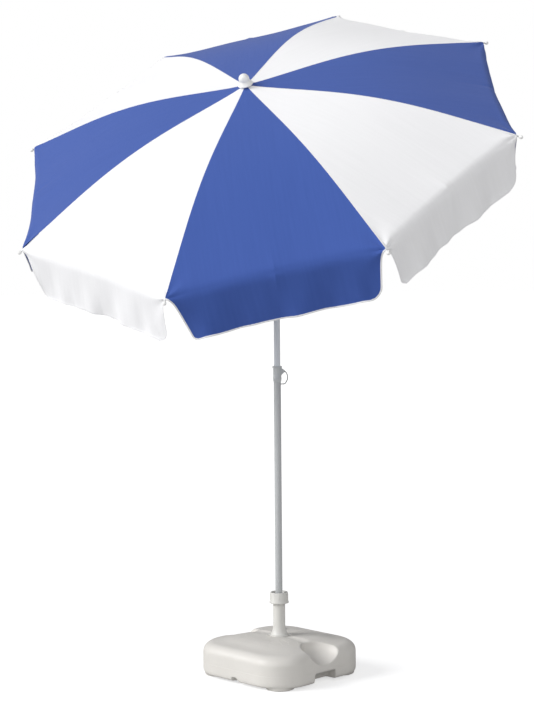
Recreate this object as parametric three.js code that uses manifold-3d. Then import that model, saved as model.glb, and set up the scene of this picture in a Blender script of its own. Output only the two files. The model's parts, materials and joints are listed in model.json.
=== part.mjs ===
// Beach umbrella: an eight-rib canopy on a telescopic pole with a tilting head, in a ballast base.
// Millimetres, +Z up. The origin is the middle of the footprint, on the ground.
// The head (crown, ribs, struts, runner and cover) is built upright in its own frame, whose origin is
// the tilt pivot and whose +X points down the slope of the leaning canopy.
import * as THREE from "three";
import { mergeVertices } from "three/addons/utils/BufferGeometryUtils.js";
import Module from "manifold-3d";

const wasm = await Module();
wasm.setup();

// ---- driving dimensions -------------------------------------------------------------------
const GAP = 0.3; // between pieces that touch
const RUN_GAP = 0.5; // around pieces that turn or slide

// ballast base
const BASE_SIDE = 450;
const BASE_CORNER = 115; // corner radius seen from above
const BASE_CROWN_Z = 136; // flat top around the socket
const BASE_SHOULDER_Z = 120; // where the crowned top turns down to the wall
const BASE_WALL_Z = 84; // top of the upright wall
const BASE_LIFT = 8; // the feet stand this much below the body
const FOOT_R = 50;
const FOOT_INSET = 55.5; // corner feet, in from the base's corners
const HANDLE_WIDTH = 150; // thumb recess above each grip
const HANDLE_FLOOR_Z = 68;
const HANDLE_DEPTH = 100;
const GRIP_WIDTH = 96;
const GRIP_DEPTH = 46;
const GRIP_TOP_Z = 40;
const NOTCH_WIDTH = 26;
const NOTCH_TOP_Z = 24;
const FILLER_REACH = 105; // filler neck, from the middle
const FILLER_AZIMUTH = 135; // degrees
const FILLER_R = 17;
const FILLER_DEPTH = 22;

// pole and its socket
const SOCKET_R = 21.5;
const SOCKET_WALL = 2;
const SOCKET_FLARE_R = 34;
const SOCKET_FLARE_H = 38;
const SOCKET_TOP_Z = 274;
const SOCKET_SLITS = 8;
const WELL_FLOOR_Z = 12;
const NUT_Z = 253;
const NUT_H = 38;
const NUT_WALL = 9.5;
const COLLET_LENGTH = 100;
const UPPER_R = 11; // upper pole and head pole
const UPPER_WALL = 1;
const LOWER_WALL = 1.2;
const LOWER_TOP_Z = 1087;
const COLLAR_H = 56;
const COLLAR_WALL = 1.5;
const UPPER_OVERLAP = 465; // upper pole left inside the lower one
const HOLE_PITCH = 60;
const HOLE_COUNT = 6;
const CLIP_AZIMUTH = 45; // degrees, side of the collar's web
const CLIP_WIRE_R = 1.6;
const CLIP_EYE_OUT = 9.2; // from the collar
const CLIP_EYE_DROP = 18; // below the collar's top
const CLIP_HEIGHT = 45; // eye to pin end
const CLIP_BULGE = 14;
const PLUG_H = 6;

// tilting head
const TILT_Z = 1681;
const TILT = 35.2; // degrees from upright
const LEAN_AZIMUTH = -67.5; // degrees
const KNUCKLE_R = 11;
const TONGUE_T = 8;
const CHEEK_T = 5;
const PIVOT_R = 2.5;
const FORK_SOCKET_H = 28;
const BUTTON_R = 3.2;
const BUTTON_PROUD = 2.4;
const BUTTON_TRAVEL = 2;
const POCKET_DEPTH = 3;

// canopy frame
const HEAD_HEIGHT = 453; // tilt pivot to the cover's middle
const RIB_COUNT = 8;
const RIB_SPIN = -45.9; // degrees, first rib from the downhill direction
const SPAN_R = 895; // cover's corner, from the head's axis
const COVER_T = 1.6;
const COVER_SLACK = 1.6; // between the cover and the ribs under it
const CROWN_RISE = 6; // cover lifted by the crown
const CROWN_RISE_R = 30;
const INNER_SLOPE = 0.115; // cover's fall near the crown
const OUTER_SLOPE = 0.385; // and near the rim
const BEND_START_R = 179; // the rib bends between these radii
const BEND_END_R = 761;
const RIM_DIP = 14; // the rim's middle lies this much inside a straight line
const VALANCE = 152;
const VALANCE_CUT = 26; // how far a flap's free corner is cut back
const VALANCE_HANG = 0.42; // 0 hangs along the head's axis, 1 plumb
const TIP_NOTCH = 4.6; // half width of the gap between two flaps at a rib's tip
const RIB_R = 2.4;
const TIP_R = 6;
const HUB_R = 20; // rib and strut pivots, from the head's axis
const HUB_DEPTH = 15.5; // rib pivots, below the cover's middle
const HUB_BLEND = 15; // length over which a rib's end sinks to its pivot
const TAB_T = 2.4;
const TAB_R = 3.5;
const WIRE_R = 1;
const CROWN_EDGE = 6; // crown's rim beyond the rib pivots
const CROWN_SKIRT = 44;
const STRUT_REACH = 220; // strut's upper pivot, from the head's axis
const STRUT_DROP = 7.2; // pivot below the rib's axis
const STRUT_DEPTH = 139.8; // runner's pivots below the struts' upper pivots
const STRUT_R = 2;
const RUNNER_EDGE = 10; // runner's rim beyond the strut pivots
const RUNNER_FLANGE_H = 12;
const RUNNER_WALL = 4.5;
const RUNNER_SLEEVE_H = 48;
const FINIAL_FLANGE_R = 26;
const FINIAL_KNOB_R = 18;
const FINIAL_H = 38;
const FINIAL_STEM_R = 4;

// ---- sizes that follow --------------------------------------------------------------------
const LOWER_R = UPPER_R + GAP + LOWER_WALL;
const COLLAR_R = LOWER_R + GAP + COLLAR_WALL;
const CLIP_EYE_REACH = COLLAR_R + CLIP_EYE_OUT;
const NUT_R = SOCKET_R + RUN_GAP + NUT_WALL;
const FOOT_REACH = (BASE_SIDE / 2 - BASE_CORNER) * Math.SQRT2 + BASE_CORNER - FOOT_INSET;
const CROWN_R = HUB_R + CROWN_EDGE;
const RUNNER_FLANGE_R = HUB_R + RUNNER_EDGE;
const RUNNER_SLEEVE_R = UPPER_R + RUN_GAP + RUNNER_WALL;

// ---- finishes -----------------------------------------------------------------------------
const finish = (color, roughness, metalness = 0) =>
  new THREE.MeshStandardMaterial({ color, roughness, metalness });
const GREY_PLASTIC = finish(0xd4d1cc, 0.5);
const WHITE_PLASTIC = finish(0xf2f2f0, 0.35);
const PALE_PLASTIC = finish(0xc4c5c4, 0.45);
const POLE_PAINT = finish(0xb9bdc0, 0.3, 0.2);
const RIB_STEEL = finish(0xd9dbdc, 0.35, 0.6);
const WIRE_STEEL = finish(0x8e9294, 0.3, 0.9);
const BLUE_CLOTH = finish(0x3a52a0, 0.85);
const WHITE_CLOTH = finish(0xf4f4f6, 0.85);

// ---- shape helpers ------------------------------------------------------------------------
const rad = THREE.MathUtils.degToRad;

// A three.js geometry as a manifold-3d solid.
function solid(geometry) {
  const bare = geometry.clone();
  bare.deleteAttribute("normal");
  bare.deleteAttribute("uv");
  const merged = mergeVertices(bare, 1e-3);
  const index = merged.index.array;
  const triangles = [];
  for (let i = 0; i < index.length; i += 3) {
    const [a, b, c] = [index[i], index[i + 1], index[i + 2]];
    if (a !== b && b !== c && c !== a) triangles.push(a, b, c);
  }
  return new wasm.Manifold(
    new wasm.Mesh({
      numProp: 3,
      vertProperties: merged.attributes.position.array,
      triVerts: new Uint32Array(triangles),
    }),
  );
}

// A manifold-3d solid as a named mesh.
function piece(name, body, material) {
  const made = (body.isBufferGeometry ? solid(body) : body).getMesh();
  const geometry = new THREE.BufferGeometry();
  geometry.setAttribute(
    "position",
    new THREE.BufferAttribute(new Float32Array(made.vertProperties), 3),
  );
  geometry.setIndex(new THREE.BufferAttribute(new Uint32Array(made.triVerts), 1));
  geometry.computeVertexNormals();
  const mesh = new THREE.Mesh(geometry, material);
  mesh.name = name;
  return mesh;
}

const join = (first, ...others) => others.reduce((a, b) => a.add(solid(b)), solid(first));
const cut = (body, ...tools) => tools.reduce((a, b) => a.subtract(solid(b)), body);

// A closed profile of [radius, height] points, counter-clockwise, turned about Z.
function turned(points, segments = 20) {
  const outline = [...points, points[0]].map(([r, z]) => new THREE.Vector2(r, z));
  return new THREE.LatheGeometry(outline, segments).rotateX(Math.PI / 2);
}

const tube = (inner, outer, low, high, segments = 20) =>
  turned([[inner, low], [outer, low], [outer, high], [inner, high]], segments);

// A round bar from one height to another on the Z axis.
const bar = (r, low, high, segments = 20) =>
  new THREE.CylinderGeometry(r, r, high - low, segments)
    .rotateX(Math.PI / 2)
    .translate(0, 0, (low + high) / 2);

// A round bar across Y, its middle at x, z.
const crossBar = (r, length, x, z, segments = 14) =>
  new THREE.CylinderGeometry(r, r, length, segments).translate(x, 0, z);

const box = (x, y, z, at) => new THREE.BoxGeometry(x, y, z).translate(...at);

// A six-sided wire along a curve.
function wire(curve, r, steps) {
  const corner = (k) => new THREE.Vector2(r * Math.cos(rad(60 * k)), r * Math.sin(rad(60 * k)));
  const section = new THREE.Shape([0, 1, 2, 3, 4, 5].map(corner));
  return new THREE.ExtrudeGeometry(section, { extrudePath: curve, steps, bevelEnabled: false });
}

const spunAbout = (geometry, degrees) => geometry.clone().rotateZ(rad(degrees));

// ---- base ---------------------------------------------------------------------------------
// A square with round corners, inset from the base's outline, as points at one height.
function baseOutline(inset, z, perCorner = 5) {
  const half = BASE_SIDE / 2 - inset;
  const r = Math.max(Math.min(BASE_CORNER - inset, half), half * 0.45);
  const points = [];
  for (let corner = 0; corner < 4; corner += 1) {
    for (let i = 0; i <= perCorner; i += 1) {
      const a = (corner + i / perCorner) * (Math.PI / 2);
      const middle = (corner + 0.5) * (Math.PI / 2);
      const reach = (half - r) * Math.SQRT2;
      points.push(
        new THREE.Vector3(
          reach * Math.cos(middle) + r * Math.cos(a),
          reach * Math.sin(middle) + r * Math.sin(a),
          z,
        ),
      );
    }
  }
  return points;
}

// Stacked outlines of equal length, skinned and capped.
function lofted(outlines) {
  const count = outlines[0].length;
  const middleOf = (points) =>
    points.reduce((a, p) => a.add(p), new THREE.Vector3()).divideScalar(count);
  const corners = [...outlines.flat(), middleOf(outlines[0]), middleOf(outlines.at(-1))];
  const bottom = outlines.length * count;
  const top = bottom + 1;
  const index = [];
  for (let i = 0; i < count; i += 1) {
    const j = (i + 1) % count;
    index.push(bottom, j, i);
    const last = (outlines.length - 1) * count;
    index.push(top, last + i, last + j);
    for (let level = 0; level < outlines.length - 1; level += 1) {
      const a = level * count;
      const b = a + count;
      index.push(a + i, a + j, b + j, a + i, b + j, b + i);
    }
  }
  const geometry = new THREE.BufferGeometry().setFromPoints(corners);
  geometry.setIndex(index);
  return geometry;
}

// The blow-moulded tank, filled: low crowned top, round shoulders, feet, two carrying handles.
function baseTank() {
  const drop = BASE_SHOULDER_Z - BASE_WALL_Z;
  const shoulder = [90, 60, 30, 0].map((degrees) => [
    drop * (1 - Math.cos(rad(degrees))),
    BASE_WALL_Z + drop * Math.sin(rad(degrees)),
  ]);
  const levels = [
    [16, BASE_LIFT],
    [4, BASE_LIFT + 5],
    [0, BASE_LIFT + 16],
    ...shoulder.reverse(),
    [BASE_SIDE / 2 - SOCKET_FLARE_R - 30, BASE_CROWN_Z - 3],
    [BASE_SIDE / 2 - SOCKET_FLARE_R - 8, BASE_CROWN_Z],
  ];
  const body = lofted(levels.map(([inset, z]) => baseOutline(inset, z)));
  const feet = [bar(FOOT_R, 0, BASE_LIFT + 4, 16)];
  for (const azimuth of [45, 135, 225, 315]) {
    feet.push(spunAbout(bar(FOOT_R, 0, BASE_LIFT + 4, 16).translate(FOOT_REACH, 0, 0), azimuth));
  }
  const handles = [0, 180].flatMap((azimuth) => {
    const edge = BASE_SIDE / 2;
    const scoop = new THREE.SphereGeometry(1, 14, 7).rotateX(Math.PI / 2);
    scoop.scale(HANDLE_DEPTH, HANDLE_WIDTH / 2, BASE_SHOULDER_Z - HANDLE_FLOOR_Z + 6);
    scoop.translate(edge + 4, 0, BASE_SHOULDER_Z + 6);
    const grip = crossBar(GRIP_TOP_Z, GRIP_WIDTH, 0, 0).scale(GRIP_DEPTH / GRIP_TOP_Z, 1, 1);
    return [scoop, grip.translate(edge, 0, 0)].map((tool) => spunAbout(tool, azimuth));
  });
  const notches = [90, 270].map((azimuth) => {
    const notch = crossBar(NOTCH_TOP_Z, NOTCH_WIDTH, 0, 0).translate(BASE_SIDE / 2 - 2, 0, 0);
    return spunAbout(notch, azimuth);
  });
  const filler = spunAbout(
    bar(FILLER_R + GAP, BASE_CROWN_Z - FILLER_DEPTH, BASE_CROWN_Z + 20).translate(FILLER_REACH, 0, 0),
    FILLER_AZIMUTH,
  );
  const well = bar(SOCKET_R + GAP, WELL_FLOOR_Z, BASE_CROWN_Z + 20, 24);
  const shell = join(body, ...feet);
  return piece("base_tank", cut(shell, ...handles, ...notches, filler, well), GREY_PLASTIC);
}

// Screw cap of the filler neck: a plug below and a ribbed disc above.
function fillerCap() {
  const seat = BASE_CROWN_Z + 1;
  const cap = turned([
    [0, seat - FILLER_DEPTH + 3],
    [FILLER_R, seat - FILLER_DEPTH + 3],
    [FILLER_R, seat],
    [FILLER_R + 4, seat],
    [FILLER_R + 4, seat + 5],
    [FILLER_R + 2, seat + 7],
    [0, seat + 7],
  ]);
  const slot = box(FILLER_R * 1.4, 3, 4, [0, 0, seat + 7]);
  const mesh = piece("filler_cap", cut(solid(cap), slot), GREY_PLASTIC);
  mesh.position.set(
    FILLER_REACH * Math.cos(rad(FILLER_AZIMUTH)),
    FILLER_REACH * Math.sin(rad(FILLER_AZIMUTH)),
    0,
  );
  return mesh;
}

// Socket tube: stands in the tank's well, flares over its mouth, and ends in clamping fingers.
function socketTube() {
  const bore = SOCKET_R - SOCKET_WALL;
  const seat = BASE_CROWN_Z + GAP;
  const flare = [0, 30, 60].map((degrees) => [
    SOCKET_FLARE_R - (SOCKET_FLARE_R - SOCKET_R) * Math.sin(rad(degrees)),
    seat + 3 + (SOCKET_FLARE_H - 3) * (1 - Math.cos(rad(degrees))),
  ]);
  const body = turned([
    [bore, WELL_FLOOR_Z + GAP],
    [SOCKET_R, WELL_FLOOR_Z + GAP],
    [SOCKET_R, seat],
    [SOCKET_FLARE_R, seat],
    ...flare,
    [SOCKET_R, seat + SOCKET_FLARE_H],
    [SOCKET_R, SOCKET_TOP_Z],
    [bore, SOCKET_TOP_Z],
  ]);
  const slits = [];
  const low = NUT_Z - 24;
  for (let i = 0; i < SOCKET_SLITS / 2; i += 1) {
    const slit = box(3 * SOCKET_R, 2, SOCKET_TOP_Z + 5 - low, [0, 0, (SOCKET_TOP_Z + 5 + low) / 2]);
    slits.push(spunAbout(slit, (i * 360) / SOCKET_SLITS));
  }
  const lugs = box(2 * SOCKET_FLARE_R + 22, 9, 4, [0, 0, seat + 2]).rotateZ(rad(CLIP_AZIMUTH));
  const drilled = cut(join(body, lugs), ...slits, bar(bore, WELL_FLOOR_Z, SOCKET_TOP_Z, 24));
  return piece("socket_tube", drilled, GREY_PLASTIC);
}

// Slit sleeve that fits the socket to the pole.
function colletSleeve() {
  const outer = SOCKET_R - SOCKET_WALL - GAP;
  const top = SOCKET_TOP_Z + 4;
  const sleeve = tube(LOWER_R + GAP, outer, top - COLLET_LENGTH, top);
  const slit = box(outer + 4, 2.4, COLLET_LENGTH + 2, [outer / 2 + 2, 0, top - COLLET_LENGTH / 2]);
  return piece("collet_sleeve", cut(solid(sleeve), slit), GREY_PLASTIC);
}

// Clamp nut: a skirted collar over the socket's fingers, open at the top around the pole.
function clampNut() {
  const top = NUT_Z + NUT_H;
  const bore = SOCKET_R + RUN_GAP;
  const mouth = SOCKET_R - 4;
  const ceiling = SOCKET_TOP_Z + 5;
  const body = turned([
    [bore, NUT_Z],
    [NUT_R + 3, NUT_Z],
    [NUT_R + 3, NUT_Z + 4],
    [NUT_R + 0.8, NUT_Z + 7],
    [NUT_R, top - 2],
    [NUT_R - 2, top],
    [mouth + 6, top],
    [mouth, ceiling + 3],
    [mouth, ceiling],
    [bore, ceiling - 1],
  ]);
  return piece("clamp_nut", body, GREY_PLASTIC);
}

// ---- pole ---------------------------------------------------------------------------------
const POLE_FOOT_Z = WELL_FLOOR_Z + GAP + PLUG_H;
const COLLAR_TOP_Z = LOWER_TOP_Z + 5;
const CLIP_EYE_Z = COLLAR_TOP_Z - CLIP_EYE_DROP;
const CLIP_PIN_Z = CLIP_EYE_Z - CLIP_HEIGHT;
const clipHole = (z, reach) =>
  new THREE.CylinderGeometry(CLIP_WIRE_R + RUN_GAP, CLIP_WIRE_R + RUN_GAP, reach, 8)
    .rotateZ(Math.PI / 2)
    .translate(reach / 2, 0, z)
    .rotateZ(rad(CLIP_AZIMUTH));

function lowerPole() {
  const body = tube(LOWER_R - LOWER_WALL, LOWER_R, POLE_FOOT_Z, LOWER_TOP_Z);
  return piece("lower_pole", cut(solid(body), clipHole(CLIP_PIN_Z, 2 * LOWER_R)), POLE_PAINT);
}

function poleFootPlug() {
  const inner = LOWER_R - LOWER_WALL - GAP;
  const low = WELL_FLOOR_Z + GAP;
  const body = turned([
    [0, low],
    [LOWER_R - 1, low],
    [LOWER_R, low + 1],
    [LOWER_R, POLE_FOOT_Z - GAP],
    [inner, POLE_FOOT_Z - GAP],
    [inner - 1, POLE_FOOT_Z + 22],
    [0, POLE_FOOT_Z + 22],
  ], 20);
  return piece("pole_foot_plug", body, PALE_PLASTIC);
}

// Collar on the lower pole's mouth, with a web that carries the locking clip.
function heightCollar() {
  const bottom = COLLAR_TOP_Z - COLLAR_H;
  const bore = LOWER_R + GAP;
  const body = turned([
    [bore, bottom],
    [COLLAR_R - 0.8, bottom],
    [COLLAR_R, bottom + 8],
    [COLLAR_R, COLLAR_TOP_Z - 6],
    [COLLAR_R + 2.6, COLLAR_TOP_Z - 5],
    [COLLAR_R + 2.6, COLLAR_TOP_Z - 1],
    [COLLAR_R + 1.6, COLLAR_TOP_Z],
    [UPPER_R + GAP, COLLAR_TOP_Z],
    [UPPER_R + GAP, LOWER_TOP_Z + GAP],
    [bore, LOWER_TOP_Z + GAP],
  ]);
  const web = new THREE.Shape();
  web.moveTo(COLLAR_R - 0.8, CLIP_EYE_DROP - 3);
  web.lineTo(COLLAR_R + 1.4, CLIP_EYE_DROP - 3);
  web.lineTo(CLIP_EYE_REACH + 4, 2);
  web.absarc(CLIP_EYE_REACH, 0, 4.2, 0.5, -Math.PI / 2 - 0.3, true);
  web.lineTo(COLLAR_R - 0.8, -16);
  web.closePath();
  const gusset = new THREE.ExtrudeGeometry(web, { depth: 4, bevelEnabled: false, curveSegments: 5 });
  gusset.rotateX(Math.PI / 2).translate(0, 2, CLIP_EYE_Z);
  const eye = crossBar(CLIP_WIRE_R + RUN_GAP, 20, CLIP_EYE_REACH, CLIP_EYE_Z, 10);
  const tools = [eye, clipHole(CLIP_PIN_Z, 2 * COLLAR_R).rotateZ(-rad(CLIP_AZIMUTH))];
  const mesh = piece("height_collar", cut(join(body, gusset), ...tools), PALE_PLASTIC);
  mesh.rotation.z = rad(CLIP_AZIMUTH);
  return mesh;
}

// Wire clip: hooked through the web's eye, bowed outwards, its end a pin in the pole's hole.
// The pin stops in the lower pole's wall, short of the upper pole.
function lockingClip() {
  const hook = 4.6;
  const tip = LOWER_R - LOWER_WALL / 2;
  const bow = CLIP_EYE_REACH + CLIP_BULGE;
  const route = [
    [CLIP_EYE_REACH, -hook, 0],
    [CLIP_EYE_REACH, hook - 1.5, 0],
    [CLIP_EYE_REACH + 1.2, hook, 0],
    [CLIP_EYE_REACH + 4.5, hook, -0.5],
    [bow - 3, hook * 0.6, -9],
    [bow, hook * 0.2, -22],
    [bow - 4, 0, -35],
    [bow - 13, 0, -CLIP_HEIGHT],
    [bow - 17, 0, -CLIP_HEIGHT],
    [tip, 0, -CLIP_HEIGHT],
  ].map(([x, y, z]) => new THREE.Vector3(x, y, z));
  const curve = new THREE.CatmullRomCurve3(route, false, "catmullrom", 0.35);
  const mesh = piece("locking_clip", wire(curve, CLIP_WIRE_R, 26), WIRE_STEEL);
  mesh.rotation.z = rad(CLIP_AZIMUTH);
  mesh.position.z = CLIP_EYE_Z;
  return mesh;
}

const FORK_FLOOR_Z = TILT_Z - KNUCKLE_R - 11; // solid head of the fork's socket
const UPPER_TOP_Z = FORK_FLOOR_Z - GAP - 3;
const UPPER_FOOT_Z = LOWER_TOP_Z - UPPER_OVERLAP;

function upperPole() {
  const body = tube(UPPER_R - UPPER_WALL, UPPER_R, UPPER_FOOT_Z, UPPER_TOP_Z);
  const holes = [];
  for (let i = 0; i < HOLE_COUNT; i += 1) {
    holes.push(clipHole(CLIP_PIN_Z - i * HOLE_PITCH, 2 * UPPER_R));
  }
  return piece("upper_pole", cut(solid(body), ...holes), POLE_PAINT);
}

// ---- tilt joint ---------------------------------------------------------------------------
// The pieces lie in the tilt joint's frame: pivot at the origin, pin across Y.
const BUTTON_Z = 2 - KNUCKLE_R;

function tiltFork() {
  const floor = FORK_FLOOR_Z - TILT_Z;
  const low = floor - FORK_SOCKET_H;
  const outer = UPPER_R + 2.5;
  const half = TONGUE_T / 2 + GAP + CHEEK_T;
  const socket = turned([
    [UPPER_R + GAP, low],
    [outer, low],
    [outer, floor],
    [outer - 2, floor + 3],
    [0, floor + 3],
    [0, floor - 3],
    [UPPER_R + GAP, floor - 3],
  ]);
  const stem = box(2 * KNUCKLE_R, 2 * half, -floor, [0, 0, floor / 2 + 1]);
  const ears = crossBar(KNUCKLE_R, 2 * half, 0, 0, 24);
  const slot = box(4 * KNUCKLE_R, TONGUE_T + 2 * GAP, 2 * KNUCKLE_R + 4, [0, 0, 1]);
  const bore = crossBar(PIVOT_R + GAP, 4 * half, 0, 0);
  const pocket = crossBar(BUTTON_R + GAP, 2 * POCKET_DEPTH, 0, BUTTON_Z).translate(0, half, 0);
  return piece("tilt_fork", cut(join(socket, stem, ears), slot, bore, pocket), PALE_PLASTIC);
}

// Press button in the fork's cheek, with room to travel inwards.
function tiltButton() {
  const inner = TONGUE_T / 2 + GAP + CHEEK_T - POCKET_DEPTH + BUTTON_TRAVEL + GAP;
  const outer = TONGUE_T / 2 + GAP + CHEEK_T + BUTTON_PROUD;
  const body = crossBar(BUTTON_R, outer - inner, 0, BUTTON_Z);
  return piece("tilt_button", body.translate(0, (inner + outer) / 2, 0), WHITE_PLASTIC);
}

function tiltPin() {
  const reach = TONGUE_T / 2 + 2 * GAP + CHEEK_T;
  const shank = crossBar(PIVOT_R, 2 * reach + 2, 0, 0);
  const heads = [-1, 1].map((side) =>
    crossBar(2 * PIVOT_R, 1.6, 0, 0).translate(0, side * (reach + 0.8), 0),
  );
  return piece("tilt_pin", join(shank, ...heads), WIRE_STEEL);
}

const HEAD_FOOT_Z = KNUCKLE_R + 5;

// Tongue between the fork's cheeks, with a plug up inside the head pole.
function tiltKnuckle() {
  const plug = UPPER_R - UPPER_WALL - GAP;
  const tongue = crossBar(KNUCKLE_R, TONGUE_T, 0, 0, 24);
  const neck = box(1.5 * KNUCKLE_R, TONGUE_T, HEAD_FOOT_Z - 1, [0, 0, (HEAD_FOOT_Z - 1) / 2]);
  const shoulder = turned([
    [0, HEAD_FOOT_Z - 2],
    [UPPER_R, HEAD_FOOT_Z - 2],
    [UPPER_R, HEAD_FOOT_Z - GAP],
    [plug, HEAD_FOOT_Z - GAP],
    [plug, HEAD_FOOT_Z + 27],
    [0, HEAD_FOOT_Z + 27],
  ]);
  return piece(
    "tilt_knuckle",
    cut(join(tongue, neck, shoulder), crossBar(PIVOT_R + GAP, 2 * TONGUE_T, 0, 0)),
    PALE_PLASTIC,
  );
}

// ---- head: profile of the cover and its ribs ----------------------------------------------
// How far the cover has fallen below its middle at a radius over a rib.
function coverFall(r) {
  const width = BEND_END_R - BEND_START_R;
  const t = Math.max(0, (r - BEND_START_R) / width);
  const bent = t < 1 ? t ** 3 - t ** 4 / 2 : 0.5 + (t - 1);
  const lifted = CROWN_RISE * (1 - Math.exp(-r / CROWN_RISE_R));
  return lifted + INNER_SLOPE * r + (OUTER_SLOPE - INNER_SLOPE) * width * bent;
}

// Height of a rib's axis at a radius: just under the cover, sunk to the pivot at the crown.
function ribHeight(r) {
  const under = COVER_T / 2 + COVER_SLACK + RIB_R;
  const sink = HUB_DEPTH - coverFall(HUB_R) - under;
  return HEAD_HEIGHT - coverFall(r) - under - sink * Math.exp(-(r - HUB_R) / HUB_BLEND);
}

const HUB_Z = HEAD_HEIGHT - HUB_DEPTH;
const STRUT_TOP = { r: STRUT_REACH, z: ribHeight(STRUT_REACH) - STRUT_DROP };
const STRUT_RUN = STRUT_TOP.r - HUB_R;
const STRUT_LENGTH = Math.hypot(STRUT_RUN, STRUT_DEPTH);
const RUNNER_Z = STRUT_TOP.z - STRUT_DEPTH;
const CROWN_TOP = HUB_Z + TAB_R + 2.2;
const ribAzimuth = (i) => RIB_SPIN + (i * 360) / RIB_COUNT;

function headPole() {
  const body = tube(UPPER_R - UPPER_WALL, UPPER_R, HEAD_FOOT_Z, HUB_Z - TAB_R - 8);
  return piece("head_pole", body, POLE_PAINT);
}

// One radial cut for each rib or strut, from a radius outwards.
const radialSlots = (inner, outer, width, low, high) =>
  Array.from({ length: RIB_COUNT }, (_, i) => {
    const slot = box(outer - inner, width, high - low, [(outer + inner) / 2, 0, (low + high) / 2]);
    return spunAbout(slot, ribAzimuth(i));
  });

const hubWire = (r) => new THREE.TorusGeometry(HUB_R, r, 4, 24).translate(0, 0, HUB_Z);

// Crown: sleeve over the head pole, notched disc for the rib ends, bore for the finial's stem.
function crown() {
  const disc = HUB_Z - TAB_R - 3;
  const seat = HUB_Z - TAB_R - 8 + GAP;
  const body = turned([
    [UPPER_R + GAP, seat - CROWN_SKIRT + 18],
    [UPPER_R + 3.5, seat - CROWN_SKIRT + 18],
    [UPPER_R + 4.5, disc - 3],
    [CROWN_R, disc],
    [CROWN_R, CROWN_TOP],
    [FINIAL_STEM_R + GAP, CROWN_TOP],
    [FINIAL_STEM_R + GAP, seat],
    [UPPER_R + GAP, seat],
  ], 24);
  const slots = radialSlots(HUB_R - TAB_R - 1, CROWN_R + 4, TAB_T + 1.2, disc - 8, HUB_Z + TAB_R + 0.6);
  return piece("crown", cut(solid(body), ...slots, hubWire(WIRE_R + GAP)), WHITE_PLASTIC);
}

const crownWire = () => piece("crown_wire", hubWire(WIRE_R), WIRE_STEEL);

// Finial: round knob on a flange that pinches the cover, with a stem down into the crown.
function finial() {
  const seat = HEAD_HEIGHT + COVER_T / 2 + GAP;
  const centre = seat + FINIAL_H - FINIAL_KNOB_R;
  const dome = [-20, 5, 30, 55, 75].map((degrees) => [
    FINIAL_KNOB_R * Math.cos(rad(degrees)),
    centre + FINIAL_KNOB_R * Math.sin(rad(degrees)),
  ]);
  const body = turned([
    [0, HUB_Z - 4],
    [FINIAL_STEM_R, HUB_Z - 4],
    [FINIAL_STEM_R, seat],
    [FINIAL_FLANGE_R, seat - 1],
    [FINIAL_FLANGE_R, seat + 3],
    [FINIAL_KNOB_R * 1.15, seat + 8],
    ...dome,
    [0, centre + FINIAL_KNOB_R],
  ]);
  return piece("finial", body, WHITE_PLASTIC);
}

// Runner: sleeve on the head pole with a notched flange for the strut ends and a catch pocket.
const CATCH_Z = RUNNER_Z + RUNNER_FLANGE_H / 2 + RUNNER_SLEEVE_H * 0.55;
const CATCH_R = 5;
const alongX = (r, low, high, z) => bar(r, low, high, 16).rotateY(Math.PI / 2).translate(0, 0, z);

function runner() {
  const low = RUNNER_Z - RUNNER_FLANGE_H / 2;
  const high = RUNNER_Z + RUNNER_FLANGE_H / 2;
  const bore = UPPER_R + RUN_GAP;
  const body = turned([
    [bore, low],
    [RUNNER_FLANGE_R, low],
    [RUNNER_FLANGE_R, high],
    [RUNNER_SLEEVE_R + 1, high + 1],
    [RUNNER_SLEEVE_R, high + 4],
    [RUNNER_SLEEVE_R - 0.5, high + RUNNER_SLEEVE_H],
    [bore, high + RUNNER_SLEEVE_H],
  ], 24);
  const slots = radialSlots(HUB_R - TAB_R - 0.8, RUNNER_FLANGE_R + 4, TAB_T + 2, low - 4, high + 6);
  const pocket = alongX(CATCH_R + GAP, RUNNER_SLEEVE_R - POCKET_DEPTH, RUNNER_SLEEVE_R + 6, CATCH_Z);
  return piece("runner", cut(solid(body), ...slots, pocket), WHITE_PLASTIC);
}

// Press catch in the runner's pocket, with room to travel inwards.
function runnerCatch() {
  const inner = RUNNER_SLEEVE_R - POCKET_DEPTH + BUTTON_TRAVEL + GAP;
  const body = alongX(CATCH_R, inner, RUNNER_SLEEVE_R + BUTTON_PROUD + 1, CATCH_Z);
  return piece("runner_catch", body, PALE_PLASTIC);
}

// ---- head: ribs and struts, each in the plane of its own azimuth ---------------------------
const TIP_START_R = SPAN_R + 1;

// Rib: flat eye on the crown wire, round rod bent to the cover's profile, lug for the strut.
function rib(i) {
  const rodStart = HUB_R + 13;
  const route = [];
  const steps = 9;
  for (let k = 0; k <= steps; k += 1) {
    const r = rodStart + ((TIP_START_R + 4 - rodStart) * k) / steps;
    route.push(new THREE.Vector3(r, 0, ribHeight(r)));
  }
  const rod = wire(new THREE.CatmullRomCurve3(route), RIB_R, steps);
  const eye = crossBar(TAB_R, TAB_T, HUB_R, HUB_Z, 10);
  const rise = ribHeight(rodStart) - HUB_Z;
  const lean = -Math.atan2(rise, 13);
  const neck = box(15, TAB_T, 2 * RIB_R, [7.5, 0, 0]).rotateY(lean).translate(HUB_R, 0, HUB_Z);
  const lug = crossBar(TAB_R, TAB_T, STRUT_TOP.r, STRUT_TOP.z, 10);
  const web = box(2 * TAB_R, TAB_T, STRUT_DROP, [STRUT_TOP.r, 0, STRUT_TOP.z + STRUT_DROP / 2]);
  const holes = [
    crossBar(WIRE_R + GAP, 3 * TAB_T, HUB_R, HUB_Z, 6),
    crossBar(WIRE_R + GAP, 3 * TAB_T, STRUT_TOP.r, STRUT_TOP.z, 6),
  ];
  return piece(`rib_${i}`, cut(join(rod, eye, neck, lug, web), ...holes), RIB_STEEL);
}

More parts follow.
